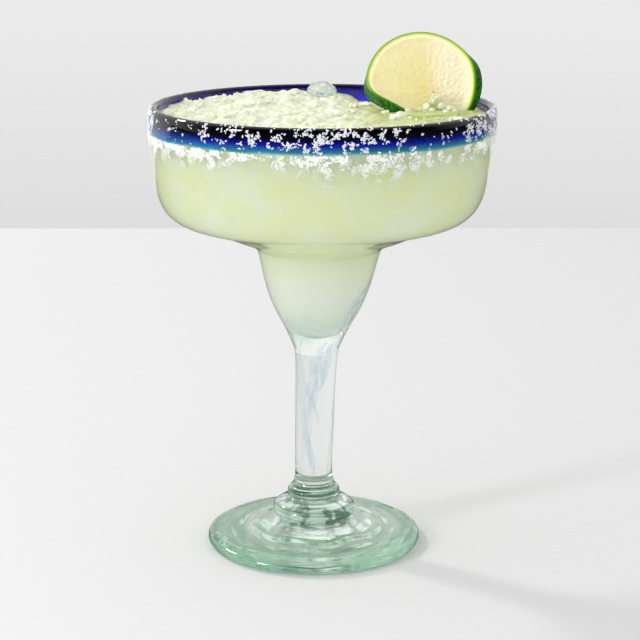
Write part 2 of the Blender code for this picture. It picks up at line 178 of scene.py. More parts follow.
# Slush
# Finely crushed ice blended with lime juice: one soft, granular mass that fills the bowl and clings to its
# wall. It was poured in and stands a little higher at the left and the back than at the front.
FOOT_CENTRE_X = -3.4 * MM
LEAN_START = 36.0 * MM
LEAN_PER_METRE = 0.0265
RIM_HEIGHT = 168.7 * MM
SLUSH_LEVEL = 165.4 * MM
FRONT_LEVEL = 162.4 * MM
FRONT_SLOPE = (-31 * MM, -12 * MM)
LEFT_LEVEL = 166.2 * MM
LEFT_SLOPE = (-36 * MM, -56 * MM)
DIP_PLACE = (19 * MM, 50 * MM)
DIP_RADIUS = 17 * MM
DIP_DEPTH = 3.4 * MM
MOUND_PLACE = (-18 * MM, 37 * MM)
MOUND_RADIUS = 34 * MM
MOUND_HEIGHT = 1.5 * MM
LUMPY_SLOPE = (-33 * MM, -22 * MM)
WAVE_SIZE = 8 * MM
SMALL_WAVE_SIZE = 4 * MM
SLUSH_IN_WALL = 0.25 * MM
WALL_TOP = 160.5 * MM
SLUSH_STEPS = 384
SLUSH_RING = 0.65 * MM
CAVITY = [
    (0.0, 82.6), (4.6, 84.0), (9.4, 88.8), (14.0, 96.0), (17.3, 103.5), (19.2, 110.5), (20.8, 116.6),
    (24.5, 120.4), (31.0, 123.4), (39.0, 126.7), (46.0, 129.0), (52.6, 131.7), (56.6, 136.0), (58.8, 141.5),
    (59.9, 150.0), (60.3, 158.0),
]


def smoothstep(low, high, value):
    t = min(max((value - low) / (high - low), 0.0), 1.0)
    return t * t * (3 - 2 * t)


def bump(x, y, centre, radius):
    """1 about the centre, falling smoothly to 0 at the radius."""
    distance = math.hypot(x - centre[0], y - centre[1])
    return 1 - smoothstep(0.3 * radius, radius, distance)


def lean(height):
    """How far to +X the glass's axis is at this height."""
    return FOOT_CENTRE_X + LEAN_PER_METRE * max(height - LEAN_START, 0.0)


def slush_height(x, y):
    """Top of the slush: high at the back and the left wall, low at the front and in a dip at the back."""
    level = FRONT_LEVEL + (SLUSH_LEVEL - FRONT_LEVEL) * smoothstep(*FRONT_SLOPE, y)
    left = smoothstep(*LEFT_SLOPE, x)
    level += (LEFT_LEVEL - level) * left * 0.9
    level -= DIP_DEPTH * bump(x, y, DIP_PLACE, DIP_RADIUS)
    level += MOUND_HEIGHT * bump(x, y, MOUND_PLACE, MOUND_RADIUS)
    lumpy = smoothstep(*LUMPY_SLOPE, y)
    wave = noise.noise(Vector((x, y, 0.0)) / WAVE_SIZE)
    small_wave = noise.noise(Vector((x, y, 9 * MM)) / SMALL_WAVE_SIZE)
    return level + (0.25 + 0.95 * lumpy) * MM * (wave + 0.5 * small_wave)


def part_way(first, second, start, end, value):
    """The point that goes from the first to the second as the value goes from start to end."""
    return (first * (end - value) + second * (value - start)) / (end - start)


def smooth_outline(points, spacing):
    """The outline as a Catmull-Rom curve through its points, with a point about every spacing."""
    path = [Vector(point) for point in points]
    path = [2 * path[0] - path[1]] + path + [2 * path[-1] - path[-2]]
    smooth = []
    for before, first, second, after in zip(path, path[1:], path[2:], path[3:]):
        knots = [0.0]
        for start, end in ((before, first), (first, second), (second, after)):
            knots.append(knots[-1] + max((end - start).length, 1e-9) ** 0.5)
        count = max(1, round((second - first).length / spacing))
        for step in range(count):
            t = knots[1] + (knots[2] - knots[1]) * step / count
            corners = [before, first, second, after]
            lines = [part_way(corners[i], corners[i + 1], knots[i], knots[i + 1], t) for i in (0, 1, 2)]
            bows = [part_way(lines[i], lines[i + 1], knots[i], knots[i + 2], t) for i in (0, 1)]
            smooth.append(tuple(part_way(bows[0], bows[1], knots[1], knots[2], t)))
    smooth.append(tuple(points[-1]))
    return smooth


def turn(name, outline, steps):
    """A body turned about the axis from an outline of (radius, height) that starts and ends on the axis."""
    bpy.ops.object.select_all(action="DESELECT")
    bpy.ops.mesh.primitive_plane_add(size=MM, location=(0.0, 0.0, 0.0))
    piece = bpy.context.object
    piece.name = piece.data.name = name
    bpy.ops.object.mode_set(mode="EDIT")
    bpy.ops.mesh.merge(type="CENTER")
    bpy.ops.transform.translate(value=(outline[0][0], 0.0, outline[0][1]))
    for (radius, height), (next_radius, next_height) in zip(outline, outline[1:]):
        step = (next_radius - radius, 0.0, next_height - height)
        bpy.ops.mesh.extrude_vertices_move(TRANSFORM_OT_translate={"value": step})
    bpy.ops.mesh.select_all(action="SELECT")
    bpy.ops.mesh.spin(steps=steps, angle=2 * math.pi, center=(0, 0, 0), axis=(0, 0, 1))
    bpy.ops.mesh.select_all(action="SELECT")
    bpy.ops.mesh.remove_doubles(threshold=0.01 * MM)
    bpy.ops.mesh.normals_make_consistent(inside=False)
    bpy.ops.object.mode_set(mode="OBJECT")
    bpy.ops.object.shade_smooth()
    return piece


def read_points(piece):
    points = numpy.empty(len(piece.data.vertices) * 3, numpy.float32)
    piece.data.vertices.foreach_get("co", points)
    return points.reshape(-1, 3)


def write_points(piece, points):
    piece.data.vertices.foreach_set("co", numpy.asarray(points, numpy.float32).ravel())
    piece.data.update()


GRAIN_SIZES = [(4.4 * MM, 1.1), (2.0 * MM, 0.3)]


def crushed_relief(x, y):
    """Relief of crushed ice: rounded grains of about 4 mm, each at its own height, finer ones over them."""
    relief = 0.0
    for size, depth in GRAIN_SIZES:
        place = Vector((x / size, y / size, 1.7))
        distances, centres = noise.voronoi(place)
        own = noise.noise(centres[0] * 3.1)
        crown = 1.0 - min(distances[0] / 0.62, 1.0) ** 2
        relief += depth * (0.75 * crown + 0.9 * own - 0.25)
    return relief * MM


wall = [(radius * MM, height * MM) for radius, height in CAVITY]
wall = smooth_outline(wall, 1.4 * MM)
wall = [(radius + (SLUSH_IN_WALL if radius > 0 else 0.0), height) for radius, height in wall]
wall.append((wall[-1][0], WALL_TOP))
top_radius = wall[-1][0] + 0.05 * MM
ring_count = int(top_radius / SLUSH_RING)
top = [(top_radius * (1 - step / ring_count), SLUSH_LEVEL) for step in range(ring_count + 1)]
slush = turn("lime_slush", wall + top, SLUSH_STEPS)
points = read_points(slush)
for point in points:
    if point[2] > WALL_TOP + 0.5 * MM:
        x, y = float(point[0]), float(point[1])
        edge = smoothstep(0.0, 3.0 * MM, top_radius - math.hypot(x, y))
        calm = 0.35 + 0.65 * smoothstep(24 * MM, 8 * MM, x) * smoothstep(-34 * MM, -22 * MM, y)
        point[2] = slush_height(x, y) + crushed_relief(x, y) * calm * (0.35 + 0.65 * edge) - 0.3 * MM
    point[0] += lean(point[2])
write_points(slush, points)

# Blended ice and juice: light goes some way in, so it glows softly, paler where the ice is densest
slush_matter, tree, output = start_material("lime_juice_slush")
where = add_node(tree, "ShaderNodeTexCoord")
mottle = add_node(tree, "ShaderNodeTexNoise", {
    "Vector": where.outputs["Object"], "Scale": 1 / (14 * MM), "Detail": 4.0, "Roughness": 0.55})
grains = add_node(tree, "ShaderNodeTexVoronoi", {"Vector": where.outputs["Object"], "Scale": 1 / (1.8 * MM)})
fine = add_node(tree, "ShaderNodeTexNoise", {
    "Vector": where.outputs["Object"], "Scale": 1 / (0.9 * MM), "Detail": 3.0, "Roughness": 0.6})
height = add_node(tree, "ShaderNodeSeparateXYZ", {0: where.outputs["Object"]})
# The drink is greener and denser in the wide bowl, and turns to pale melted water at the bottom
depth = add_node(tree, "ShaderNodeMapRange", {
    "Value": height.outputs["Z"], "From Min": 84 * MM, "From Max": 122 * MM})
body = add_node(tree, "ShaderNodeValToRGB", {"Fac": depth.outputs["Result"]}, [
    (0.0, "F7FBF8"), (0.4, "FAFCF2"), (0.8, "F9FCE4"), (1.0, "F8FBD8")])
pale = add_node(tree, "ShaderNodeMapRange", {
    "Value": mottle.outputs["Fac"], "From Min": 0.42, "From Max": 0.68})
tinted = add_node(tree, "ShaderNodeMix", {
    "Factor": pale.outputs["Result"], 6: body.outputs["Color"], 7: colour("FAFDEC")}, data_type="RGBA")
# Against the nearly white slush under the glass, the top is painted darker and greyer: painted shade, because
# the lamps light the top directly and the slush under the glass gets less light
above = add_node(tree, "ShaderNodeMapRange", {
    "Value": height.outputs["Z"], "From Min": 160 * MM, "From Max": 166 * MM, "To Max": 0.9})
top_painted_darker = add_node(tree, "ShaderNodeMix", {
    "Factor": above.outputs["Result"], 6: tinted.outputs[2], 7: colour("D0D4BC")}, data_type="RGBA")
# At the right, where the wheel sank in, juice has risen between the ice and the top is greener
wetter = add_node(tree, "ShaderNodeMapRange", {
    "Value": height.outputs["X"], "From Min": 4 * MM, "From Max": 20 * MM})
wet_top = add_node(tree, "ShaderNodeMath", {
    0: wetter.outputs["Result"], 1: above.outputs["Result"]}, operation="MULTIPLY")
standing = add_node(tree, "ShaderNodeMapRange", {
    "Value": height.outputs["Z"], "From Min": 166.5 * MM, "From Max": 169.5 * MM,
    "To Min": 1.0, "To Max": 0.25})
wet_low = add_node(tree, "ShaderNodeMath", {
    0: wet_top.outputs[0], 1: standing.outputs["Result"]}, operation="MULTIPLY")
juiced = add_node(tree, "ShaderNodeMix", {
    "Factor": wet_low.outputs[0], 6: top_painted_darker.outputs[2], 7: colour("AEB868")}, data_type="RGBA")
relief = add_node(tree, "ShaderNodeMath", {
    0: grains.outputs["Distance"], 1: fine.outputs["Fac"]}, operation="SUBTRACT")
dents = add_node(tree, "ShaderNodeBump", {
    "Height": relief.outputs[0], "Strength": 0.35, "Distance": 0.3 * MM})
shader = add_node(tree, "ShaderNodeBsdfPrincipled", {
    "Base Color": juiced.outputs[2], "Roughness": 0.35, "IOR": 1.33, "Normal": dents.outputs["Normal"],
    "Subsurface Weight": 0.7, "Subsurface Radius": (1.0, 1.0, 0.7), "Subsurface Scale": 3.5 * MM})
tree.links.new(shader.outputs[0], output.inputs["Surface"])
slush.data.materials.append(slush_matter)
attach(slush, "root")
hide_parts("slush")


# Heap against the lime wheel
# The same slush, pressed up by the wheel when it was pushed in: a low block with a smooth cut side, and a
# point that stands in the wheel's notch.
BLOCK_LOW = Vector((21.6, -8.5, 158.0)) * MM
BLOCK_HIGH = Vector((50.0, 7.0, 166.1)) * MM
POINT_BASE = (Vector((36.6, 2.0, 164.6)) * MM, Vector((47.2, 9.5, 164.6)) * MM)
POINT_HALF_BASE = Vector((0.0, 0.0, 1.0)) * MM
POINT_TOP = Vector((41.0, 5.6, 172.0)) * MM


def apply_modifier(piece, kind, **settings):
    """Adds a modifier with its settings and applies it."""
    modifier = piece.modifiers.new(kind.lower(), kind)
    for name, value in settings.items():
        setattr(modifier, name, value)
    bpy.context.view_layer.objects.active = piece
    bpy.ops.object.modifier_apply(modifier=modifier.name)


def roughen(piece, size, depth):
    """Moves each point along its normal by noise of that size and depth."""
    places = read_points(piece)
    normals = numpy.array([vert.normal for vert in piece.data.vertices])
    steps = [noise.fractal(Vector(place) / size, 1.0, 2.0, 3) * depth for place in places]
    write_points(piece, places + normals * numpy.array(steps)[:, None])


def add_block(name, low, high):
    """A block between two corners."""
    bpy.ops.object.select_all(action="DESELECT")
    bpy.ops.mesh.primitive_cube_add(size=1.0, location=(low + high) / 2)
    block = bpy.context.object
    block.name = block.data.name = name
    block.scale = high - low
    bpy.ops.object.transform_apply(location=True, rotation=True, scale=True)
    return block


def wear(block, bevel, segments, cuts, size, depth):
    """Rounds the block's edges, cuts its faces finer and roughens them, as soft slush is."""
    bpy.ops.object.mode_set(mode="EDIT")
    bpy.ops.mesh.select_all(action="SELECT")
    bpy.ops.mesh.bevel(offset=bevel, segments=segments)
    bpy.ops.mesh.subdivide(number_cuts=cuts)
    bpy.ops.object.mode_set(mode="OBJECT")
    roughen(block, size, depth)
    bpy.ops.object.shade_smooth()


heap = add_block("slush_heap", BLOCK_LOW, BLOCK_HIGH)
wear(heap, bevel=1.8 * MM, segments=4, cuts=6, size=5.0 * MM, depth=0.7 * MM)

peak = add_block("slush_point", POINT_BASE[0] - POINT_HALF_BASE, POINT_BASE[1] + POINT_HALF_BASE)
for vert in peak.data.vertices:
    if vert.co.z > POINT_BASE[0].z:
        # The top edge runs back a little, as the slit of the wheel does
        back = vert.co.y > POINT_TOP.y
        right = vert.co.x > POINT_TOP.x
        spread = Vector((0.5 if right else -0.3, 3.0 if back else 0.0, -0.3 if back else 0.0))
        vert.co = POINT_TOP + spread * MM
wear(peak, bevel=0.25 * MM, segments=2, cuts=4, size=2.2 * MM, depth=0.35 * MM)

for piece in (heap, peak):
    piece.data.materials.append(slush_matter)
    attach(piece, "root")
    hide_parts("slush")


# Clear lump of ice
# A broken piece of clear ice that wasn't blended. It is sunk in the slush at the back and stands over the
# rim.
ICE_PLACE = Vector((-0.4, 44.5, 166.8)) * MM
ICE_HALF_SIZE = Vector((7.2, 6.4, 5.6)) * MM
ICE_CORNERS = 16
GOLDEN_TURN = 2.4


def ball_corners(rng, count, sway, reach):
    """Corners spread over a ball of radius 1, each pushed round by up to sway and set within reach."""
    found = []
    for step in range(count):
        high = 1 - 2 * (step + 0.5) / count
        angle = step * GOLDEN_TURN + rng.uniform(-sway, sway)
        across = math.sqrt(1 - high * high)
        toward = Vector((across * math.cos(angle), across * math.sin(angle), high))
        found.append(toward * rng.uniform(*reach))
    return found


rng = random.Random(5)
bpy.ops.object.select_all(action="DESELECT")
bpy.ops.mesh.primitive_plane_add(size=MM, location=(0.0, 0.0, 0.0))
ice = bpy.context.object
ice.name = ice.data.name = "clear_ice_lump"
shape = bmesh.new()
for corner in ball_corners(rng, ICE_CORNERS, 0.35, (0.86, 1.04)):
    shape.verts.new(ICE_PLACE + Vector(a * b for a, b in zip(corner, ICE_HALF_SIZE)))
bmesh.ops.convex_hull(shape, input=shape.verts[:])
shape.to_mesh(ice.data)
shape.free()
apply_modifier(ice, "BEVEL", width=0.5 * MM, segments=2, limit_method="NONE")
bpy.ops.object.mode_set(mode="EDIT")
bpy.ops.mesh.select_all(action="SELECT")
bpy.ops.mesh.subdivide(number_cuts=3)
bpy.ops.mesh.normals_make_consistent(inside=False)
bpy.ops.object.mode_set(mode="OBJECT")
roughen(ice, 3.0 * MM, 0.45 * MM)
bpy.ops.object.shade_smooth()

# Ice: nearly clear and wet, with a few cloudy veins
ice_matter, tree, output = start_material("wet_clear_ice")
where = add_node(tree, "ShaderNodeTexCoord")
veins = add_node(tree, "ShaderNodeTexNoise", {
    "Vector": where.outputs["Object"], "Scale": 1 / (4 * MM), "Detail": 5.0, "Distortion": 0.6})
cloudy = add_node(tree, "ShaderNodeValToRGB", {"Fac": veins.outputs["Fac"]}, [
    (0.35, "DDE8F4"), (0.65, "FBFDFF")])
dull = add_node(tree, "ShaderNodeMapRange", {
    "Value": veins.outputs["Fac"], "From Min": 0.4, "From Max": 0.7, "To Min": 0.04, "To Max": 0.3})
dents = add_node(tree, "ShaderNodeBump", {
    "Height": veins.outputs["Fac"], "Strength": 0.6, "Distance": 0.8 * MM})
shader = add_node(tree, "ShaderNodeBsdfPrincipled", {
    "Base Color": cloudy.outputs["Color"], "Roughness": dull.outputs["Result"], "IOR": 1.31,
    "Transmission Weight": 0.75, "Normal": dents.outputs["Normal"]})
tree.links.new(shader.outputs[0], output.inputs["Surface"])
ice.data.materials.append(ice_matter)
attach(ice, "root")
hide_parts("ice_lump")


# Lumps and loose grains of crushed ice
# What the blender left whole: lumps of a few millimetres that stand out of the slush, and finer grains that
# lie all over it. They are frozen juice and water, so they are paler than the slush.
LUMP_COUNT = 22
LUMP_RADIUS = (3.6 * MM, 5.6 * MM)
LUMP_REACH = 53 * MM
LUMP_SPACING = 8.8 * MM
LUMPS_FROM_Y = -20 * MM
LUMP_SUNK = 0.35
LUMP_SQUASH = (1.12, 1.0, 0.66)
LUMP_DRAWS = 43
LOOSE_COUNT = 340
LOOSE_RADIUS = (0.6 * MM, 2.3 * MM)
LOOSE_REACH = 59 * MM
NOTCH_GRAINS = [
    (38.4, 3.0, 167.0, 1.9), (41.0, 3.4, 169.3, 1.2), (43.6, 2.6, 167.4, 2.1), (46.4, 2.8, 166.6, 1.6),
    (40.2, 0.8, 166.4, 1.7), (35.6, 1.6, 166.3, 1.4), (48.6, 1.0, 166.2, 1.3), (42.2, 4.2, 170.6, 0.9),
    (31.0, -2.0, 166.0, 1.8), (27.4, 1.5, 166.1, 1.5), (45.0, -3.0, 166.0, 1.4),
]


def crystal(rng, corners, roundness):
    """Corners and faces of an uneven crystal: the hull of points scattered on a unit ball."""
    shape = bmesh.new()
    for corner in ball_corners(rng, corners, 0.5, (roundness, 1.0)):
        shape.verts.new(corner)
    bmesh.ops.convex_hull(shape, input=shape.verts[:])
    shape.verts.index_update()
    loose = [vert for vert in shape.verts if not vert.link_faces]
    bmesh.ops.delete(shape, geom=loose, context="VERTS")
    shape.verts.index_update()
    corners = numpy.array([vert.co for vert in shape.verts])
    faces = [[vert.index for vert in face.verts] for face in shape.faces]
    shape.free()
    return corners, faces


def join_copies(name, patterns, places):
    """One piece of many copies: each place is a matrix and the number of its pattern."""
    points = []
    faces = []
    for matrix, number in places:
        corners, sides = patterns[number]
        start = len(points)
        turned = corners @ numpy.array(matrix.to_3x3()).T + numpy.array(matrix.translation)
        points.extend(map(tuple, turned))
        faces.extend([start + index for index in side] for side in sides)
    mesh = bpy.data.meshes.new(name)
    mesh.from_pydata(points, [], faces)
    piece = bpy.data.objects.new(name, mesh)
    bpy.context.scene.collection.objects.link(piece)
    return piece


def spun(rng):
    """A random turn."""
    axis = Vector([rng.gauss(0, 1) for _ in range(3)]).normalized()
    return Matrix.Rotation(rng.uniform(0, 2 * math.pi), 4, axis)


rng = random.Random(21)
lump_places = []
while len(lump_places) < LUMP_COUNT:
    angle = rng.uniform(0, 2 * math.pi)
    out = LUMP_REACH * math.sqrt(rng.random())
    x, y = out * math.cos(angle), out * math.sin(angle)
    radius = rng.uniform(*LUMP_RADIUS)
    if y < LUMPS_FROM_Y or any(math.hypot(x - a, y - b) < LUMP_SPACING for a, b, _ in lump_places):
        continue
    # Each lump of the plain solid draws its corners and its turn here, and the next lump's place follows
    for _ in range(LUMP_DRAWS):
        rng.random()
    lump_places.append((x, y, radius))
rng = random.Random(4)
lump_patterns = [crystal(rng, 15, 0.84) for _ in range(6)]
places = []
for number, (x, y, radius) in enumerate(lump_places):
    place = Matrix.Translation((x, y, slush_height(x, y) - LUMP_SUNK * radius))
    squash = Matrix.Diagonal((*(share * radius for share in LUMP_SQUASH), 1.0))
    places.append((place @ squash @ spun(rng), number % len(lump_patterns)))
lumps = join_copies("crushed_ice_lumps", lump_patterns, places)
apply_modifier(lumps, "BEVEL", width=0.5 * MM, segments=2, limit_method="NONE")
apply_modifier(lumps, "SUBSURF", levels=1, render_levels=1, subdivision_type="SIMPLE")
roughen(lumps, 1.8 * MM, 0.25 * MM)
lumps.data.shade_smooth()

loose_patterns = [crystal(rng, 12, 0.6) for _ in range(8)]
places = []
while len(places) < LOOSE_COUNT:
    angle = rng.uniform(0, 2 * math.pi)
    out = LOOSE_REACH * math.sqrt(rng.random())
    x, y = out * math.cos(angle), out * math.sin(angle)
    radius = LOOSE_RADIUS[0] + (LOOSE_RADIUS[1] - LOOSE_RADIUS[0]) * rng.random() ** 2
    height_here = slush_height(x, y) + 0.3 * crushed_relief(x, y)
    if x > 14 * MM and -10 * MM < y < 30 * MM:
        # In front of the wheel only a few lie on the heap, and none where the wheel stands
        if y > 5 * MM or x < BLOCK_LOW.x or x > BLOCK_HIGH.x or rng.random() > 0.6:
            continue
        height_here = BLOCK_HIGH.z
    place = Matrix.Translation((x + lean(height_here), y, height_here - 0.1 * radius))
    places.append((place @ spun(rng) @ Matrix.Diagonal((radius, 0.8 * radius, 0.65 * radius, 1.0)),
                   rng.randrange(len(loose_patterns))))
# A few lie round the point in the wheel's notch
for x, y, z, radius in NOTCH_GRAINS:
    place = Matrix.Translation(Vector((x, y, z)) * MM)
    places.append((place @ spun(rng) @ Matrix.Scale(radius * MM, 4), rng.randrange(len(loose_patterns))))
loose = join_copies("crushed_ice_grains", loose_patterns, places)

# Frozen juice: cloudy ice with a faint green tint
grain_matter, tree, output = start_material("frozen_juice_ice")
where = add_node(tree, "ShaderNodeTexCoord")
cloud = add_node(tree, "ShaderNodeTexNoise", {
    "Vector": where.outputs["Object"], "Scale": 1 / (5 * MM), "Detail": 3.0})
tint = add_node(tree, "ShaderNodeValToRGB", {"Fac": cloud.outputs["Fac"]}, [
    (0.35, "DDE5C0"), (0.55, "E9EED6"), (0.7, "F4F7EA")])
frost = add_node(tree, "ShaderNodeTexNoise", {
    "Vector": where.outputs["Object"], "Scale": 1 / (0.7 * MM), "Detail": 2.0})
dents = add_node(tree, "ShaderNodeBump", {
    "Height": frost.outputs["Fac"], "Strength": 0.35, "Distance": 0.25 * MM})
shader = add_node(tree, "ShaderNodeBsdfPrincipled", {
    "Base Color": tint.outputs["Color"], "Roughness": 0.35, "IOR": 1.31, "Normal": dents.outputs["Normal"]})
tree.links.new(shader.outputs[0], output.inputs["Surface"])
for piece in (lumps, loose):
    piece.data.materials.append(grain_matter)
    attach(piece, "root")
    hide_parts("slush")


# Lime wheel
# A slice of a whole lime, slit from its hub to its edge and twisted: the right side and the lower left flap
# bend forward. The pulp is juice sacs in segments between thin skins, inside white pith and green zest.
WHEEL_RADIUS = 20.8 * MM
WHEEL_THICKNESS = 3.7 * MM
HUB = Vector((4.3 * MM, -3.1 * MM))
NOTCH = (math.radians(259), math.radians(303))
RIGHT_ROLL = (math.radians(0), 14.0 * MM, 7.0 * MM)
FLAP_ROLL = (math.radians(238.9), 4.45 * MM, 11.5 * MM)
WHEEL_LEAN = math.radians(30)
WHEEL_PLACE = Vector((36.9, 13.5, 175.0)) * MM
RIND_WIDTH = 1.25 * MM
PITH_WIDTH = 1.5 * MM
RIND_OVERLAP = 0.1 * MM
RIND_ROUNDING = 0.4 * MM
SAC_SIZE = 1.5 * MM
SEGMENT_COUNT = 10
WHEEL_SPOKES = 240
WHEEL_RINGS = 64
RIND_RINGS = 6


def roll(point, direction, start, radius):
    """Rolls what lies past start, along the direction, forward round a cylinder."""
    turned = Matrix.Rotation(-direction, 3, "Z")
    local = turned @ point
    over = local.x - start
    if over > 0:
        angle = over / radius
        reach = radius - local.z
        local = Vector((start + reach * math.sin(angle), local.y, local.z + reach * (1 - math.cos(angle))))
    return turned.transposed() @ local


def place_on_wheel(x, y, forward):
    """A point of the flat wheel, rolled, leant back and set in the glass."""
    point = roll(Vector((x, y, forward)), *RIGHT_ROLL)
    point = roll(point, *FLAP_ROLL)
    upright = Vector((point.x, -point.z, point.y))
    return Matrix.Rotation(-WHEEL_LEAN, 3, "X") @ upright + WHEEL_PLACE


def reach_of_circle(direction, radius):
    """How far from the hub the circle about the wheel's middle lies, in this direction."""
    along = HUB.dot(direction)
    return -along + math.sqrt(along * along - HUB.length_squared + radius * radius)


def pulp_relief(spot):
    """Depth of the cut face: plump sacs that point at the hub, thin raised skins between the segments."""
    from_hub = spot - HUB
    distance = from_hub.length
    angle = math.atan2(from_hub.y, from_hub.x)
    share = angle / (2 * math.pi) * SEGMENT_COUNT
    off_skin = abs(share - round(share)) * 2 * math.pi / SEGMENT_COUNT * distance
    to_edge = WHEEL_RADIUS - RIND_WIDTH - PITH_WIDTH - spot.length
    inside = smoothstep(0.0, 1.0 * MM, to_edge) * smoothstep(1.2 * MM, 2.6 * MM, distance)
    distances, centres = noise.voronoi(Vector((spot.x / SAC_SIZE, spot.y / SAC_SIZE, 0.4)))
    sac = 1.0 - min(distances[0] / 0.6, 1.0) ** 2
    skin = 1 - smoothstep(0.15 * MM, 0.6 * MM, off_skin)
    # The sacs of the right half are full, and those of the left half were cut through flat
    full = 0.35 + 0.65 * smoothstep(2 * MM, 8 * MM, spot.x)
    return inside * full * MM * (0.34 * sac + 0.20 * noise.noise(centres[0] * 5.0) - 0.3) * (1 - 0.5 * skin)


def close_notch(plate, row_count):
    """Closes the two cut walls of the notch, in strips between the front face and the back face."""
    shape = bmesh.new()
    shape.from_mesh(plate.data)
    shape.verts.ensure_lookup_table()
    last_spoke = len(shape.verts) - row_count
    for start in (0, last_spoke):
        low, high = start, start + row_count - 2
        while high - low > 2:
            corners = (low, low + 1, high - 1, high)
            shape.faces.new([shape.verts[corner] for corner in corners])
            low += 1
            high -= 1
        if high - low == 2:
            shape.faces.new([shape.verts[corner] for corner in (low, low + 1, high)])
    shape.to_mesh(plate.data)
    shape.free()


def polar_plate(name, outer, inner, rings, rounding_depth, face_relief):
    """A wheel-shaped plate with its notch, between two circles, shaped from a grid of spokes and rings.

    Its points carry their place on the flat wheel, for the material.
    """
    front = [(share, 0.0) for share in numpy.linspace(0.0, 1.0, rings)]
    edge = [(1.0, -WHEEL_THICKNESS * share) for share in (0.03, 0.12, 0.3, 0.5, 0.7, 0.88, 0.97)]
    back = [(share, -WHEEL_THICKNESS) for share, _ in reversed(front)]
    rows = front + edge + back + front[:1]
    bpy.ops.object.select_all(action="DESELECT")
    bpy.ops.mesh.primitive_grid_add(
        x_subdivisions=len(rows) - 1, y_subdivisions=WHEEL_SPOKES, size=2.0, location=(0.0, 0.0, 0.0))
    plate = bpy.context.object
    plate.name = plate.data.name = name
    flat = plate.data.attributes.new("flat", "FLOAT_VECTOR", "POINT")
    sweep = 2 * math.pi - (NOTCH[1] - NOTCH[0])
    for vert in plate.data.vertices:
        share, forward = rows[round((vert.co.x + 1) / 2 * (len(rows) - 1))]
        angle = NOTCH[1] + sweep * (vert.co.y + 1) / 2
        toward = Vector((math.cos(angle), math.sin(angle)))
        start = 0.0 if inner is None else reach_of_circle(toward, inner)
        end = reach_of_circle(toward, outer)
        # The edge between face and rim is rounded by pulling it in a little
        depth = -forward / WHEEL_THICKNESS
        rounding = 1 - smoothstep(0.0, 0.12, depth) + smoothstep(0.88, 1.0, depth) if share == 1.0 else 0.0
        spot = HUB + toward * (start + (end - start) * share - rounding_depth * rounding)
        if forward == 0.0:
            forward += face_relief(spot)
        flat.data[vert.index].vector = (spot.x, spot.y, forward)
        vert.co = place_on_wheel(spot.x, spot.y, forward)
    close_notch(plate, len(rows))
    bpy.ops.object.mode_set(mode="EDIT")
    bpy.ops.mesh.select_all(action="SELECT")
    bpy.ops.mesh.remove_doubles(threshold=0.003 * MM)
    bpy.ops.mesh.normals_make_consistent(inside=False)
    bpy.ops.object.mode_set(mode="OBJECT")
    bpy.ops.object.shade_smooth_by_angle(angle=math.radians(50))
    return plate


pulp = polar_plate("lime_flesh", WHEEL_RADIUS - RIND_WIDTH, None, WHEEL_RINGS, 0.0, pulp_relief)
rind_inside = WHEEL_RADIUS - RIND_WIDTH - RIND_OVERLAP
rind = polar_plate("lime_rind", WHEEL_RADIUS, rind_inside, RIND_RINGS, RIND_ROUNDING, lambda spot: 0.0)

# Lime pulp: pale cream to yellow and wet, with lighter skins between the segments and white pith round it
pulp_matter, tree, output = start_material("lime_pulp_and_pith")
flat = add_node(tree, "ShaderNodeAttribute", attribute_name="flat")
from_middle = add_node(tree, "ShaderNodeVectorMath", {0: flat.outputs["Vector"]}, operation="LENGTH")
from_hub = add_node(tree, "ShaderNodeVectorMath", {
    0: flat.outputs["Vector"], 1: (HUB.x, HUB.y, 0.0)}, operation="SUBTRACT")
hub_distance = add_node(tree, "ShaderNodeVectorMath", {0: from_hub.outputs[0]}, operation="LENGTH")
axes = add_node(tree, "ShaderNodeSeparateXYZ", {0: from_hub.outputs[0]})
angle = add_node(tree, "ShaderNodeMath", {0: axes.outputs["Y"], 1: axes.outputs["X"]}, operation="ARCTAN2")
sector = add_node(tree, "ShaderNodeMath", {
    0: angle.outputs[0], 1: SEGMENT_COUNT / (2 * math.pi)}, operation="MULTIPLY")
nearest = add_node(tree, "ShaderNodeMath", {0: sector.outputs[0]}, operation="ROUND")
off = add_node(tree, "ShaderNodeMath", {0: sector.outputs[0], 1: nearest.outputs[0]}, operation="SUBTRACT")
off_turn = add_node(tree, "ShaderNodeMath", {0: off.outputs[0]}, operation="ABSOLUTE")
off_skin = add_node(tree, "ShaderNodeMath", {
    0: off_turn.outputs[0], 1: hub_distance.outputs["Value"]}, operation="MULTIPLY")
skin = add_node(tree, "ShaderNodeMapRange", {
    "Value": off_skin.outputs[0], "From Min": 0.25 * MM, "From Max": 0.7 * MM, "To Min": 0.16, "To Max": 0.0})
around = add_node(tree, "ShaderNodeMath", {0: angle.outputs[0], 1: 8.5}, operation="MULTIPLY")
outward = add_node(tree, "ShaderNodeMath", {
    0: hub_distance.outputs["Value"], 1: 1 / (2.2 * MM)}, operation="MULTIPLY")
sac_place = add_node(tree, "ShaderNodeCombineXYZ", {0: around.outputs[0], 1: outward.outputs[0]})
sacs = add_node(tree, "ShaderNodeTexVoronoi", {"Vector": sac_place.outputs[0], "Scale": 1.0})
small_sacs = add_node(tree, "ShaderNodeTexVoronoi", {
    "Vector": flat.outputs["Vector"], "Scale": 1 / (1.25 * MM)})
mottle = add_node(tree, "ShaderNodeTexNoise", {
    "Vector": flat.outputs["Vector"], "Scale": 1 / (7 * MM), "Detail": 3.0})
yellow = add_node(tree, "ShaderNodeMapRange", {
    "Value": hub_distance.outputs["Value"], "From Min": 2 * MM, "From Max": 19 * MM})
flesh = add_node(tree, "ShaderNodeValToRGB", {"Fac": yellow.outputs["Result"]}, [
    (0.0, "E6B658"), (0.22, "E4D084"), (0.6, "E6DBA2"), (1.0, "EAE2B6")])
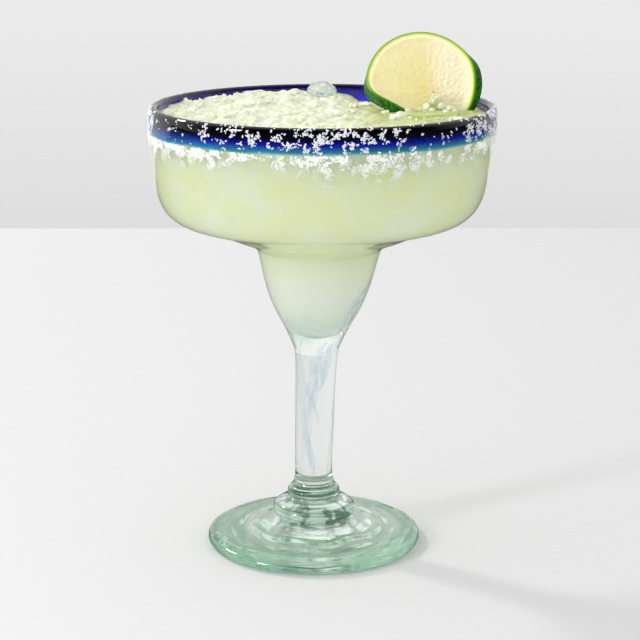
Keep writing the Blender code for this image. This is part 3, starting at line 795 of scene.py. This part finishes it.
mottled = add_node(tree, "ShaderNodeMix", {
    "Factor": mottle.outputs["Fac"], 6: flesh.outputs["Color"], 7: colour("DCD27E")}, data_type="RGBA")
skinned = add_node(tree, "ShaderNodeMix", {
    "Factor": skin.outputs["Result"], 6: mottled.outputs[2], 7: colour("FAF4DC")}, data_type="RGBA")
# Between full sacs the juice is deeper, so it looks more yellow
right_half = add_node(tree, "ShaderNodeMapRange", {
    "Value": axes.outputs["X"], "From Min": -4 * MM, "From Max": 4 * MM, "To Min": 0.15, "To Max": 0.6})
between = add_node(tree, "ShaderNodeMapRange", {
    "Value": small_sacs.outputs["Distance"], "From Min": 0.25, "From Max": 0.65})
deeper = add_node(tree, "ShaderNodeMath", {
    0: right_half.outputs["Result"], 1: between.outputs["Result"]}, operation="MULTIPLY")
sacked = add_node(tree, "ShaderNodeMix", {
    "Factor": deeper.outputs[0], 6: skinned.outputs[2], 7: colour("F3E2A0")}, data_type="RGBA")
# The right half bends forward to face the light at the left, and it is painted paler: painted light
right_half_painted_light = add_node(tree, "ShaderNodeMix", {
    "Factor": right_half.outputs["Result"], 6: sacked.outputs[2], 7: colour("FBF4E0")}, data_type="RGBA")
pith = add_node(tree, "ShaderNodeMapRange", {
    "Value": from_middle.outputs["Value"], "From Min": WHEEL_RADIUS - RIND_WIDTH - PITH_WIDTH,
    "From Max": WHEEL_RADIUS - RIND_WIDTH - 0.5 * PITH_WIDTH})
face = add_node(tree, "ShaderNodeMix", {
    "Factor": pith.outputs["Result"], 6: right_half_painted_light.outputs[2], 7: colour("FAF4C4")}, data_type="RGBA")
sac_shape = add_node(tree, "ShaderNodeMix", {
    "Factor": right_half.outputs["Result"], 2: sacs.outputs["Distance"], 3: small_sacs.outputs["Distance"]},
    data_type="FLOAT")
dents = add_node(tree, "ShaderNodeBump", {
    "Height": sac_shape.outputs[0], "Strength": 0.6, "Distance": -0.5 * MM})
shader = add_node(tree, "ShaderNodeBsdfPrincipled", {
    "Base Color": face.outputs[2], "Roughness": 0.16, "IOR": 1.35, "Normal": dents.outputs["Normal"],
    "Subsurface Weight": 0.35, "Subsurface Radius": (1.0, 0.8, 0.35), "Subsurface Scale": 2.0 * MM})
tree.links.new(shader.outputs[0], output.inputs["Surface"])
pulp.data.materials.append(pulp_matter)
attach(pulp, "root")
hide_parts("lime_wheel")

# Lime zest: waxy and green, bright where it was cut thin, darker and dotted with oil glands on its outside
rind_matter, tree, output = start_material("lime_zest")
flat = add_node(tree, "ShaderNodeAttribute", attribute_name="flat")
from_middle = add_node(tree, "ShaderNodeVectorMath", {0: flat.outputs["Vector"]}, operation="LENGTH")
flat_parts = add_node(tree, "ShaderNodeSeparateXYZ", {0: flat.outputs["Vector"]})
deep = add_node(tree, "ShaderNodeMapRange", {
    "Value": flat_parts.outputs["Z"], "From Min": -0.2 * MM, "From Max": -1.2 * MM})
width = add_node(tree, "ShaderNodeMapRange", {
    "Value": from_middle.outputs["Value"], "From Min": WHEEL_RADIUS - RIND_WIDTH, "From Max": WHEEL_RADIUS})
cut = add_node(tree, "ShaderNodeValToRGB", {"Fac": width.outputs["Result"]}, [
    (0.0, "E6EC96"), (0.25, "BCD83C"), (0.7, "79B018"), (1.0, "3F7E0C")])
glands = add_node(tree, "ShaderNodeTexVoronoi", {"Vector": flat.outputs["Vector"], "Scale": 1 / (0.9 * MM)})
peel_spots = add_node(tree, "ShaderNodeValToRGB", {"Fac": glands.outputs["Distance"]}, [
    (0.1, "40900A"), (0.4, "1E6204"), (0.8, "0E4002")])
outside = add_node(tree, "ShaderNodeMix", {
    "Factor": deep.outputs["Result"], 6: cut.outputs["Color"], 7: peel_spots.outputs["Color"]},
    data_type="RGBA")
dents = add_node(tree, "ShaderNodeBump", {
    "Height": glands.outputs["Distance"], "Strength": 0.4, "Distance": 0.2 * MM})
shader = add_node(tree, "ShaderNodeBsdfPrincipled", {
    "Base Color": outside.outputs[2], "Roughness": 0.45, "IOR": 1.4, "Specular IOR Level": 0.3,
    "Normal": dents.outputs["Normal"]})
tree.links.new(shader.outputs[0], output.inputs["Surface"])
rind.data.materials.append(rind_matter)
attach(rind, "root")
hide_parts("lime_wheel")


# Glass
# Hand-blown recycled glass: a foot, two knops, a stem, a narrow lower bowl and a wide upper one, drawn out of
# one gather, with a band of cobalt glass laid round the lip. Faint green where it is thick, with small waves.
BOWL_RADIUS = 63.7 * MM
FOOT_RADIUS = 40.7 * MM
FOOT_EDGE = 2.2 * MM
LIP_RADIUS = 1.65 * MM
BAND_BOTTOM = 159.6 * MM
FOOT_TOP = (3.0 * MM, 9.5 * MM)
KNOP_EDGE = 17 * MM
FOOT_RING_DEPTH = 0.22 * MM
FOOT_RING_SIZE = 0.9 * MM
WOBBLE = 0.12 * MM
WOBBLE_SIZE = 26 * MM
GLASS_STEPS = 200


def arc(centre, radii, start, end, steps):
    """Points (radius, height) on an ellipse, with the angles in degrees from straight out."""
    found = []
    for step in range(steps + 1):
        angle = math.radians(start + (end - start) * step / steps)
        found.append((centre[0] + radii[0] * math.cos(angle), centre[1] + radii[1] * math.sin(angle)))
    return found


def in_mm(pairs):
    return [(radius * MM, height * MM) for radius, height in pairs]


def glass_outline():
    """From under the foot's middle, over the foot, stem, bowl and lip, and down inside to the bottom."""
    foot = in_mm([(0, 1.4), (16, 1.2), (26, 0.6), (30, 0.0), (34, 0.0)])
    foot += arc((FOOT_RADIUS - FOOT_EDGE, FOOT_EDGE), (FOOT_EDGE, FOOT_EDGE), -90, 80, 8)
    foot += in_mm([(33, 5.4), (25, 6.7), (18, 8.3)])
    knops = arc((11.3 * MM, 12.9 * MM), (4.5 * MM, 3.7 * MM), -60, 75, 8)
    knops += in_mm([(11.0, 17.1)])
    knops += arc((7.0 * MM, 19.9 * MM), (3.0 * MM, 2.7 * MM), -35, 65, 6)
    stem = in_mm([(7.5, 24.2), (7.1, 27.5), (7.3, 46.0), (7.8, 70.0)])
    lower = in_mm([(8.4, 76.1), (9.8, 79.6), (12.6, 85.5), (16.0, 91.7)])
    lower += in_mm([(18.6, 97.9), (20.5, 104.2), (22.2, 111.2)])
    flare = in_mm([(23.6, 115.2), (27.0, 117.4), (33.0, 119.8), (40.0, 122.8), (47.0, 124.9), (53.5, 127.0)])
    upper = in_mm([(57.6, 130.4), (60.2, 135.4), (61.8, 142.0), (62.8, 149.0), (63.6, 156.0), (63.7, 159.6)])
    lip = arc((BOWL_RADIUS - LIP_RADIUS, RIM_HEIGHT - LIP_RADIUS), (LIP_RADIUS, LIP_RADIUS), 0, 180, 12)
    inside = [(BOWL_RADIUS - 2 * LIP_RADIUS, BAND_BOTTOM + 4 * MM)] + in_mm(reversed(CAVITY))
    return foot + knops + stem + lower + flare + upper + lip + inside


glass = turn("blown_glass", smooth_outline(glass_outline(), 1.1 * MM), GLASS_STEPS)
points = read_points(glass)
for point in points:
    x, y, z = map(float, point)
    radius = math.hypot(x, y)
    # Low rings on top of the foot, left by the tool that pressed it flat
    if FOOT_TOP[0] < z < FOOT_TOP[1] and radius > KNOP_EDGE:
        uneven = noise.noise(Vector((x, y, 0.0)) / (14 * MM))
        point[2] += FOOT_RING_DEPTH * math.sin(radius / FOOT_RING_SIZE + 3.0 * uneven)
    # The whole is a little out of round, and never moves inwards far enough to meet the slush
    if radius > 1 * MM:
        wave = noise.noise(Vector((x, y, z)) / WOBBLE_SIZE)
        stretch = 1 + WOBBLE * wave / radius
        point[0] *= stretch
        point[1] *= stretch
    point[0] += lean(z)
write_points(glass, points)

# Recycled soda glass: clear, with iron's green in its depth. Cobalt glass: black where thick, blue, then cyan
glass_matter, tree, output = start_material("recycled_glass_with_cobalt_band")
where = add_node(tree, "ShaderNodeTexCoord")
place_parts = add_node(tree, "ShaderNodeSeparateXYZ", {0: where.outputs["Object"]})
sway = add_node(tree, "ShaderNodeTexNoise", {
    "Vector": where.outputs["Object"], "Scale": 1 / (30 * MM), "Detail": 1.0})
out_of_axis = add_node(tree, "ShaderNodeVectorMath", {
    0: where.outputs["Object"], 1: (1.0, 1.0, 0.0)}, operation="MULTIPLY")
from_axis = add_node(tree, "ShaderNodeVectorMath", {0: out_of_axis.outputs[0]}, operation="LENGTH")
swayed = add_node(tree, "ShaderNodeMath", {
    0: sway.outputs["Fac"], 1: 1.6 * MM, 2: place_parts.outputs["Z"]}, operation="MULTIPLY_ADD")
band = add_node(tree, "ShaderNodeMapRange", {
    "Value": swayed.outputs[0], "From Min": BAND_BOTTOM + 0.8 * MM, "From Max": RIM_HEIGHT + 0.8 * MM})
thick = add_node(tree, "ShaderNodeValToRGB", {"Fac": band.outputs["Result"]}, [
    (0.0, "FFFFFF"), (0.02, "9CF0FF"), (0.05, "30B8F4"), (0.11, "1470F4"), (0.28, "0A2CE0"), (0.44, "08108C"),
    (0.56, "03031C"), (0.8, "010106")])
# The band is thinner at the back, so light comes through it blue and purple
thin = add_node(tree, "ShaderNodeValToRGB", {"Fac": band.outputs["Result"]}, [
    (0.0, "FFFFFF"), (0.03, "9CF0FF"), (0.08, "3A8CF8"), (0.25, "1C28E0"), (0.55, "20109A"), (0.85, "140850"),
    (0.95, "040210")])
to_back = add_node(tree, "ShaderNodeMapRange", {
    "Value": place_parts.outputs["Y"], "From Min": -12 * MM, "From Max": 18 * MM})
cobalt = add_node(tree, "ShaderNodeMix", {
    "Factor": to_back.outputs["Result"], 6: thick.outputs["Color"], 7: thin.outputs["Color"]},
    data_type="RGBA")
# Iron makes the thick foot and knops green, in rings and streaks where the gather was folded
folds = add_node(tree, "ShaderNodeTexNoise", {
    "Vector": where.outputs["Object"], "Scale": 1 / (11 * MM), "Detail": 3.0, "Distortion": 1.2})
ringed = add_node(tree, "ShaderNodeMath", {
    0: folds.outputs["Fac"], 1: 14 * MM, 2: from_axis.outputs["Value"]}, operation="MULTIPLY_ADD")
rings = add_node(tree, "ShaderNodeMath", {0: ringed.outputs[0], 1: 1 / (1.5 * MM)}, operation="MULTIPLY")
ring_wave = add_node(tree, "ShaderNodeMath", {0: rings.outputs[0]}, operation="SINE")
streak = add_node(tree, "ShaderNodeMapRange", {
    "Value": ring_wave.outputs[0], "From Min": -1.0, "From Max": 1.0, "To Min": 0.0, "To Max": 0.55})
edge_on = add_node(tree, "ShaderNodeMapRange", {
    "Value": from_axis.outputs["Value"], "From Min": 22 * MM, "From Max": 38 * MM, "To Max": 0.5})
green = add_node(tree, "ShaderNodeMath", {
    0: streak.outputs["Result"], 1: edge_on.outputs["Result"]}, operation="ADD")
along = add_node(tree, "ShaderNodeMapRange", {"Value": place_parts.outputs["Z"], "From Max": 100 * MM})
thick_glass = add_node(tree, "ShaderNodeValToRGB", {"Fac": along.outputs["Result"]}, [
    (0.0, 1.0), (0.20, 1.0), (0.25, 0.0), (0.70, 0.0), (0.76, 0.8), (0.86, 0.7), (0.96, 0.0)])
foot_green = add_node(tree, "ShaderNodeMath", {
    0: green.outputs[0], 1: thick_glass.outputs["Color"]}, operation="MULTIPLY", use_clamp=True)
tinted = add_node(tree, "ShaderNodeMix", {
    "Factor": foot_green.outputs[0], 6: cobalt.outputs[2], 7: colour("B0D7BD")}, data_type="RGBA")
# Deep green patches are painted on the lower knop: painted shade for the dark refractions seen in it.
mottle = add_node(tree, "ShaderNodeTexNoise", {
    "Vector": where.outputs["Object"], "Scale": 1 / (5.5 * MM), "Detail": 2.0, "Distortion": 0.8})
patches = add_node(tree, "ShaderNodeMapRange", {
    "Value": mottle.outputs["Fac"], "From Min": 0.44, "From Max": 0.50})
knop_span = add_node(tree, "ShaderNodeValToRGB", {"Fac": along.outputs["Result"]}, [
    (0.08, 0.0), (0.10, 1.0), (0.17, 0.8), (0.20, 0.0)])
near_axis = add_node(tree, "ShaderNodeMapRange", {
    "Value": from_axis.outputs["Value"], "From Min": 16 * MM, "From Max": 20 * MM,
    "To Min": 1.0, "To Max": 0.0})
knop_part = add_node(tree, "ShaderNodeMath", {
    0: knop_span.outputs["Color"], 1: near_axis.outputs["Result"]}, operation="MULTIPLY")
knop_painted_dark = add_node(tree, "ShaderNodeMath", {
    0: patches.outputs["Result"], 1: knop_part.outputs[0]}, operation="MULTIPLY")
with_painted_knop_dark = add_node(tree, "ShaderNodeMix", {
    "Factor": knop_painted_dark.outputs[0], 6: tinted.outputs[2], 7: colour("06301F")}, data_type="RGBA")
waves = add_node(tree, "ShaderNodeTexNoise", {
    "Vector": where.outputs["Object"], "Scale": 1 / (9 * MM), "Detail": 1.0})
ripple = add_node(tree, "ShaderNodeBump", {
    "Height": waves.outputs["Fac"], "Strength": 0.12, "Distance": 1.0 * MM})
shader = add_node(tree, "ShaderNodeBsdfPrincipled", {
    "Base Color": with_painted_knop_dark.outputs[2], "Roughness": 0.0, "IOR": 1.51, "Transmission Weight": 1.0,
    "Normal": ripple.outputs["Normal"]})
tree.links.new(shader.outputs[0], output.inputs["Surface"])
inside = add_node(tree, "ShaderNodeVolumeAbsorption", {"Color": colour("A6DEC2"), "Density": 6.0})
tree.links.new(inside.outputs[0], output.inputs["Volume"])
glass.data.materials.append(glass_matter)
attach(glass, "root")
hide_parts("glass")


# Milky streaks
# Opal glass from the gather, drawn out into thin pale blue veils when the stem was pulled. They lie inside
# the stem and in the wall of the lower bowl.
VEILS = [
    # (start height, end height, distance from the axis at each, start angle, twist, width), in mm and degrees
    (27, 80, 4.6, 5.0, 200, 120, 3.4), (30, 82, 3.2, 5.4, 250, -90, 2.8), (46, 83, 4.8, 4.0, 300, -160, 2.0),
    (26, 62, 5.2, 4.9, 330, 60, 3.0), (60, 81, 2.0, 5.6, 285, 50, 4.6), (66, 81, 5.0, 6.2, 240, 60, 3.6),
    (26, 74, 1.5, 2.6, 90, 200, 3.8),
    (86, 108, 12.6, 20.4, 322, 24, 4.0), (84, 101, 11.4, 18.6, 308, 30, 2.6),
]
VEIL_STEPS = 60
VEIL_THICKNESS = 0.12 * MM


def veil(bottom, top, near, far, start, twist, width):
    """Corners and faces of one veil: a thin band that winds about the axis and thins out at both ends."""
    corners = []
    faces = []
    for step in range(VEIL_STEPS + 1):
        share = step / VEIL_STEPS
        height = (bottom + (top - bottom) * share) * MM
        wave = noise.noise(Vector((start, 3.0 * share, twist)))
        angle = math.radians(start + twist * share + 18 * wave)
        reach = (near + (far - near) * share) * MM
        half = 0.5 * width * MM * (0.08 + 0.92 * math.sin(math.pi * share)) * (1 + 0.5 * wave)
        outward = Vector((math.cos(angle), math.sin(angle), 0.0))
        around = Vector((-math.sin(angle), math.cos(angle), 0.0))
        middle = outward * reach + Vector((lean(height), 0.0, height))
        for side, depth in ((-1, -1), (1, -1), (1, 1), (-1, 1)):
            corners.append(middle + around * side * half + outward * depth * VEIL_THICKNESS / 2)
        if step:
            last = 4 * (step - 1)
            for a, b in ((0, 1), (1, 2), (2, 3), (3, 0)):
                faces.append([last + a, last + b, last + 4 + b, last + 4 + a])
    end = 4 * VEIL_STEPS
    faces += [[3, 2, 1, 0], [end, end + 1, end + 2, end + 3]]
    return numpy.array(corners), faces


veil_patterns = [veil(*row) for row in VEILS]
veils = join_copies("opal_veils", veil_patterns, [(Matrix(), row) for row in range(len(VEILS))])
veils.data.shade_smooth()
# Opal glass: milky and faintly blue, so thin that most light goes through
veil_matter, tree, output = start_material("opal_glass")
where = add_node(tree, "ShaderNodeTexCoord")
drawn_out = add_node(tree, "ShaderNodeVectorMath", {
    0: where.outputs["Object"], 1: (1.0, 1.0, 0.1)}, operation="MULTIPLY")
cloud = add_node(tree, "ShaderNodeTexNoise", {
    "Vector": drawn_out.outputs[0], "Scale": 1 / (2 * MM), "Detail": 2.0})
milk = add_node(tree, "ShaderNodeMapRange", {
    "Value": cloud.outputs["Fac"], "From Min": 0.3, "From Max": 0.7, "To Min": 0.0, "To Max": 0.22})
tint = add_node(tree, "ShaderNodeValToRGB", {"Fac": cloud.outputs["Fac"]}, [(0.3, "ACD2F8"), (0.7, "DDEEFC")])
shader = add_node(tree, "ShaderNodeBsdfPrincipled", {
    "Base Color": tint.outputs["Color"], "Roughness": 0.6, "IOR": 1.5, "Alpha": milk.outputs["Result"]})
tree.links.new(shader.outputs[0], output.inputs["Surface"])
veils.data.materials.append(veil_matter)
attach(veils, "root")
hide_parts("glass")


# Salt
# Coarse salt that stuck to the wetted rim: long cuboid crystals on the band and the lip, in clusters, and a
# damp crust of finer ones below the band, where they have begun to melt.
BAND_GRAINS = 2000
BAND_LENGTH = (0.5 * MM, 1.25 * MM)
BAND_CLUMP = 2.6 * MM
BAND_HEIGHTS = (BAND_BOTTOM + 0.6 * MM, RIM_HEIGHT + 0.6 * MM)
CRUST_GRAINS = 8200
CRUST_LENGTH = (0.4 * MM, 1.1 * MM)
CRUST_CLUMP = 3.4 * MM
CRUST_HEIGHTS = (147.6 * MM, BAND_BOTTOM - 0.2 * MM)
CRUST_REACH = 12.0 * MM
CRYSTAL_WIDTH = 0.52
CRYSTAL_THICKNESS = 0.46
CRYSTAL_CHIP = 0.07
CRYSTAL_KINDS = 8


def rim_place(angle, height):
    """A place on the outside of the rim and its outward normal. Past the rim's top it runs inwards."""
    lip_start = RIM_HEIGHT - LIP_RADIUS
    tilt = 0.0
    radius = BOWL_RADIUS - 0.13 * max(BAND_BOTTOM - height, 0.0)
    if height > lip_start:
        tilt = (height - lip_start) / LIP_RADIUS
        radius = BOWL_RADIUS - LIP_RADIUS * (1 - math.cos(tilt))
        height = lip_start + LIP_RADIUS * math.sin(tilt)
    outward = Vector((math.cos(angle), math.sin(angle), 0.0))
    normal = outward * math.cos(tilt) + Vector((0.0, 0.0, math.sin(tilt)))
    return outward * radius + Vector((lean(height), 0.0, height)), normal


def cuboid(rng, chip):
    """Corners and faces of one salt crystal, 1 long, with its edges chipped off this far, or whole at 0."""
    shape = bmesh.new()
    bmesh.ops.create_cube(shape, size=1.0)
    for vert in shape.verts:
        vert.co *= 1 + rng.uniform(-0.25, 0.1)
        vert.co.y *= CRYSTAL_WIDTH
        vert.co.z *= CRYSTAL_THICKNESS
    if chip:
        bmesh.ops.bevel(shape, geom=shape.edges[:], offset=chip, segments=1, affect="EDGES")
    shape.verts.index_update()
    corners = numpy.array([vert.co for vert in shape.verts])
    faces = [[vert.index for vert in face.verts] for face in shape.faces]
    shape.free()
    return corners, faces


# How thick the salt lies round the rim: degrees about the axis, with the front at 270, and the share covered
BAND_COVER = [
    (0, 0.5), (15, 0.3), (60, 0.25), (120, 0.25), (165, 0.5), (183, 1.0), (194, 0.9), (200, 0.10),
    (222, 0.14), (230, 0.45), (244, 0.40), (252, 0.55), (266, 0.95), (288, 0.95), (298, 0.7), (303, 0.15),
    (318, 0.12), (324, 0.8), (345, 1.0), (360, 0.5),
]
CRUST_COVER = [
    (0, 0.8), (60, 0.6), (120, 0.6), (180, 0.9), (200, 1.0), (236, 0.9), (246, 0.3), (258, 0.5), (272, 0.8),
    (290, 0.85), (310, 0.7), (335, 0.9), (360, 0.8),
]
# The same for how far down the crust reaches, as a share of its full reach
REACH_COVER = [
    (0, 0.65), (60, 0.8), (120, 0.8), (180, 0.65), (236, 0.65), (244, 0.3), (255, 0.4), (264, 1.0),
    (291, 1.0), (300, 0.65), (360, 0.65),
]


def cover(table, angle):
    """The table's share at this angle, straight between its rows."""
    degrees = math.degrees(angle) % 360
    for (start, first), (end, second) in zip(table, table[1:]):
        if start <= degrees <= end:
            return first + (second - first) * (degrees - start) / (end - start)
    return 0.0


def scatter_salt(rng, count, heights, size, table, clump, evenness, patterns):
    """Places for grains on the rim, thick where the table and the noise of clump size say so."""
    found = []
    while len(found) < count:
        angle = rng.uniform(0, 2 * math.pi)
        share = rng.random()
        height = heights[0] + (heights[1] - heights[0]) * share
        place, normal = rim_place(angle, height)
        chance = cover(table, angle) * (evenness + 1.6 * noise.noise(place / clump))
        if height > RIM_HEIGHT - 1.3 * MM and 203 < math.degrees(angle) < 318:
            # Nearly none stuck on top of the lip at the front
            chance *= 0.25
        if BAND_BOTTOM < height < BAND_BOTTOM + 3.5 * MM:
            # The rim was dipped at a slant, so fewer stuck to the band's lower edge
            chance *= 0.45
        if height < BAND_BOTTOM:
            # The crust ends in an uneven lower edge
            reach = CRUST_REACH * cover(REACH_COVER, angle) * (1 + 0.5 * noise.noise(place / (6 * MM)))
            chance *= 1 - smoothstep(0.55 * reach, reach, BAND_BOTTOM - height)
        if rng.random() > chance:
            continue
        length = size[0] + (size[1] - size[0]) * rng.random() ** 1.5
        facing = normal.to_track_quat("Z", "Y").to_matrix().to_4x4()
        tip = Matrix.Rotation(rng.uniform(-0.45, 0.45), 4, "Y")
        tip = tip @ Matrix.Rotation(rng.uniform(-0.4, 0.4), 4, "X")
        spin = Matrix.Rotation(rng.uniform(0, math.pi), 4, "Z")
        raised = Matrix.Translation(place + normal * length * 0.12)
        found.append((raised @ facing @ spin @ tip @ Matrix.Scale(length, 4), rng.randrange(len(patterns))))
    return found


rng = random.Random(11)
salt_patterns = [cuboid(rng, CRYSTAL_CHIP) for _ in range(CRYSTAL_KINDS)]
band_places = scatter_salt(
    rng, BAND_GRAINS, BAND_HEIGHTS, BAND_LENGTH, BAND_COVER, BAND_CLUMP, 0.28, salt_patterns)
salt = join_copies("salt_crystals", salt_patterns, band_places)
# The crust's grains are so fine that their edges are left whole
crust_rng = random.Random(12)
crust_patterns = [cuboid(crust_rng, 0.0) for _ in range(CRYSTAL_KINDS)]
crust_places = scatter_salt(
    rng, CRUST_GRAINS, CRUST_HEIGHTS, CRUST_LENGTH, CRUST_COVER, CRUST_CLUMP, 0.52, crust_patterns)
crust = join_copies("salt_crust", crust_patterns, crust_places)

# Table salt: white, glassy on its faces. It looks white because light scatters at its many edges
salt_matter, tree, output = start_material("salt_crystal")
where = add_node(tree, "ShaderNodeTexCoord")
grit = add_node(tree, "ShaderNodeTexNoise", {
    "Vector": where.outputs["Object"], "Scale": 1 / (0.8 * MM), "Detail": 2.0})
white = add_node(tree, "ShaderNodeValToRGB", {"Fac": grit.outputs["Fac"]}, [(0.3, "DCDFF4"), (0.6, "FFFFFF")])
shader = add_node(tree, "ShaderNodeBsdfPrincipled", {
    "Base Color": white.outputs["Color"], "Roughness": 0.3, "IOR": 1.54, "Transmission Weight": 0.15})
tree.links.new(shader.outputs[0], output.inputs["Surface"])
salt.data.materials.append(salt_matter)
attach(salt, "root")
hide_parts("glass")

# Damp salt: fine grains that have half melted together, duller and a little warmer white than dry salt
crust_matter, tree, output = start_material("damp_salt")
where = add_node(tree, "ShaderNodeTexCoord")
grit = add_node(tree, "ShaderNodeTexNoise", {
    "Vector": where.outputs["Object"], "Scale": 1 / (1.2 * MM), "Detail": 2.0})
white = add_node(tree, "ShaderNodeValToRGB", {"Fac": grit.outputs["Fac"]}, [(0.3, "F8FAF2"), (0.6, "FFFFFF")])
shader = add_node(tree, "ShaderNodeBsdfPrincipled", {
    "Base Color": white.outputs["Color"], "Roughness": 0.45, "IOR": 1.45})
tree.links.new(shader.outputs[0], output.inputs["Surface"])
crust.data.materials.append(crust_matter)
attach(crust, "root")
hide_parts("glass")
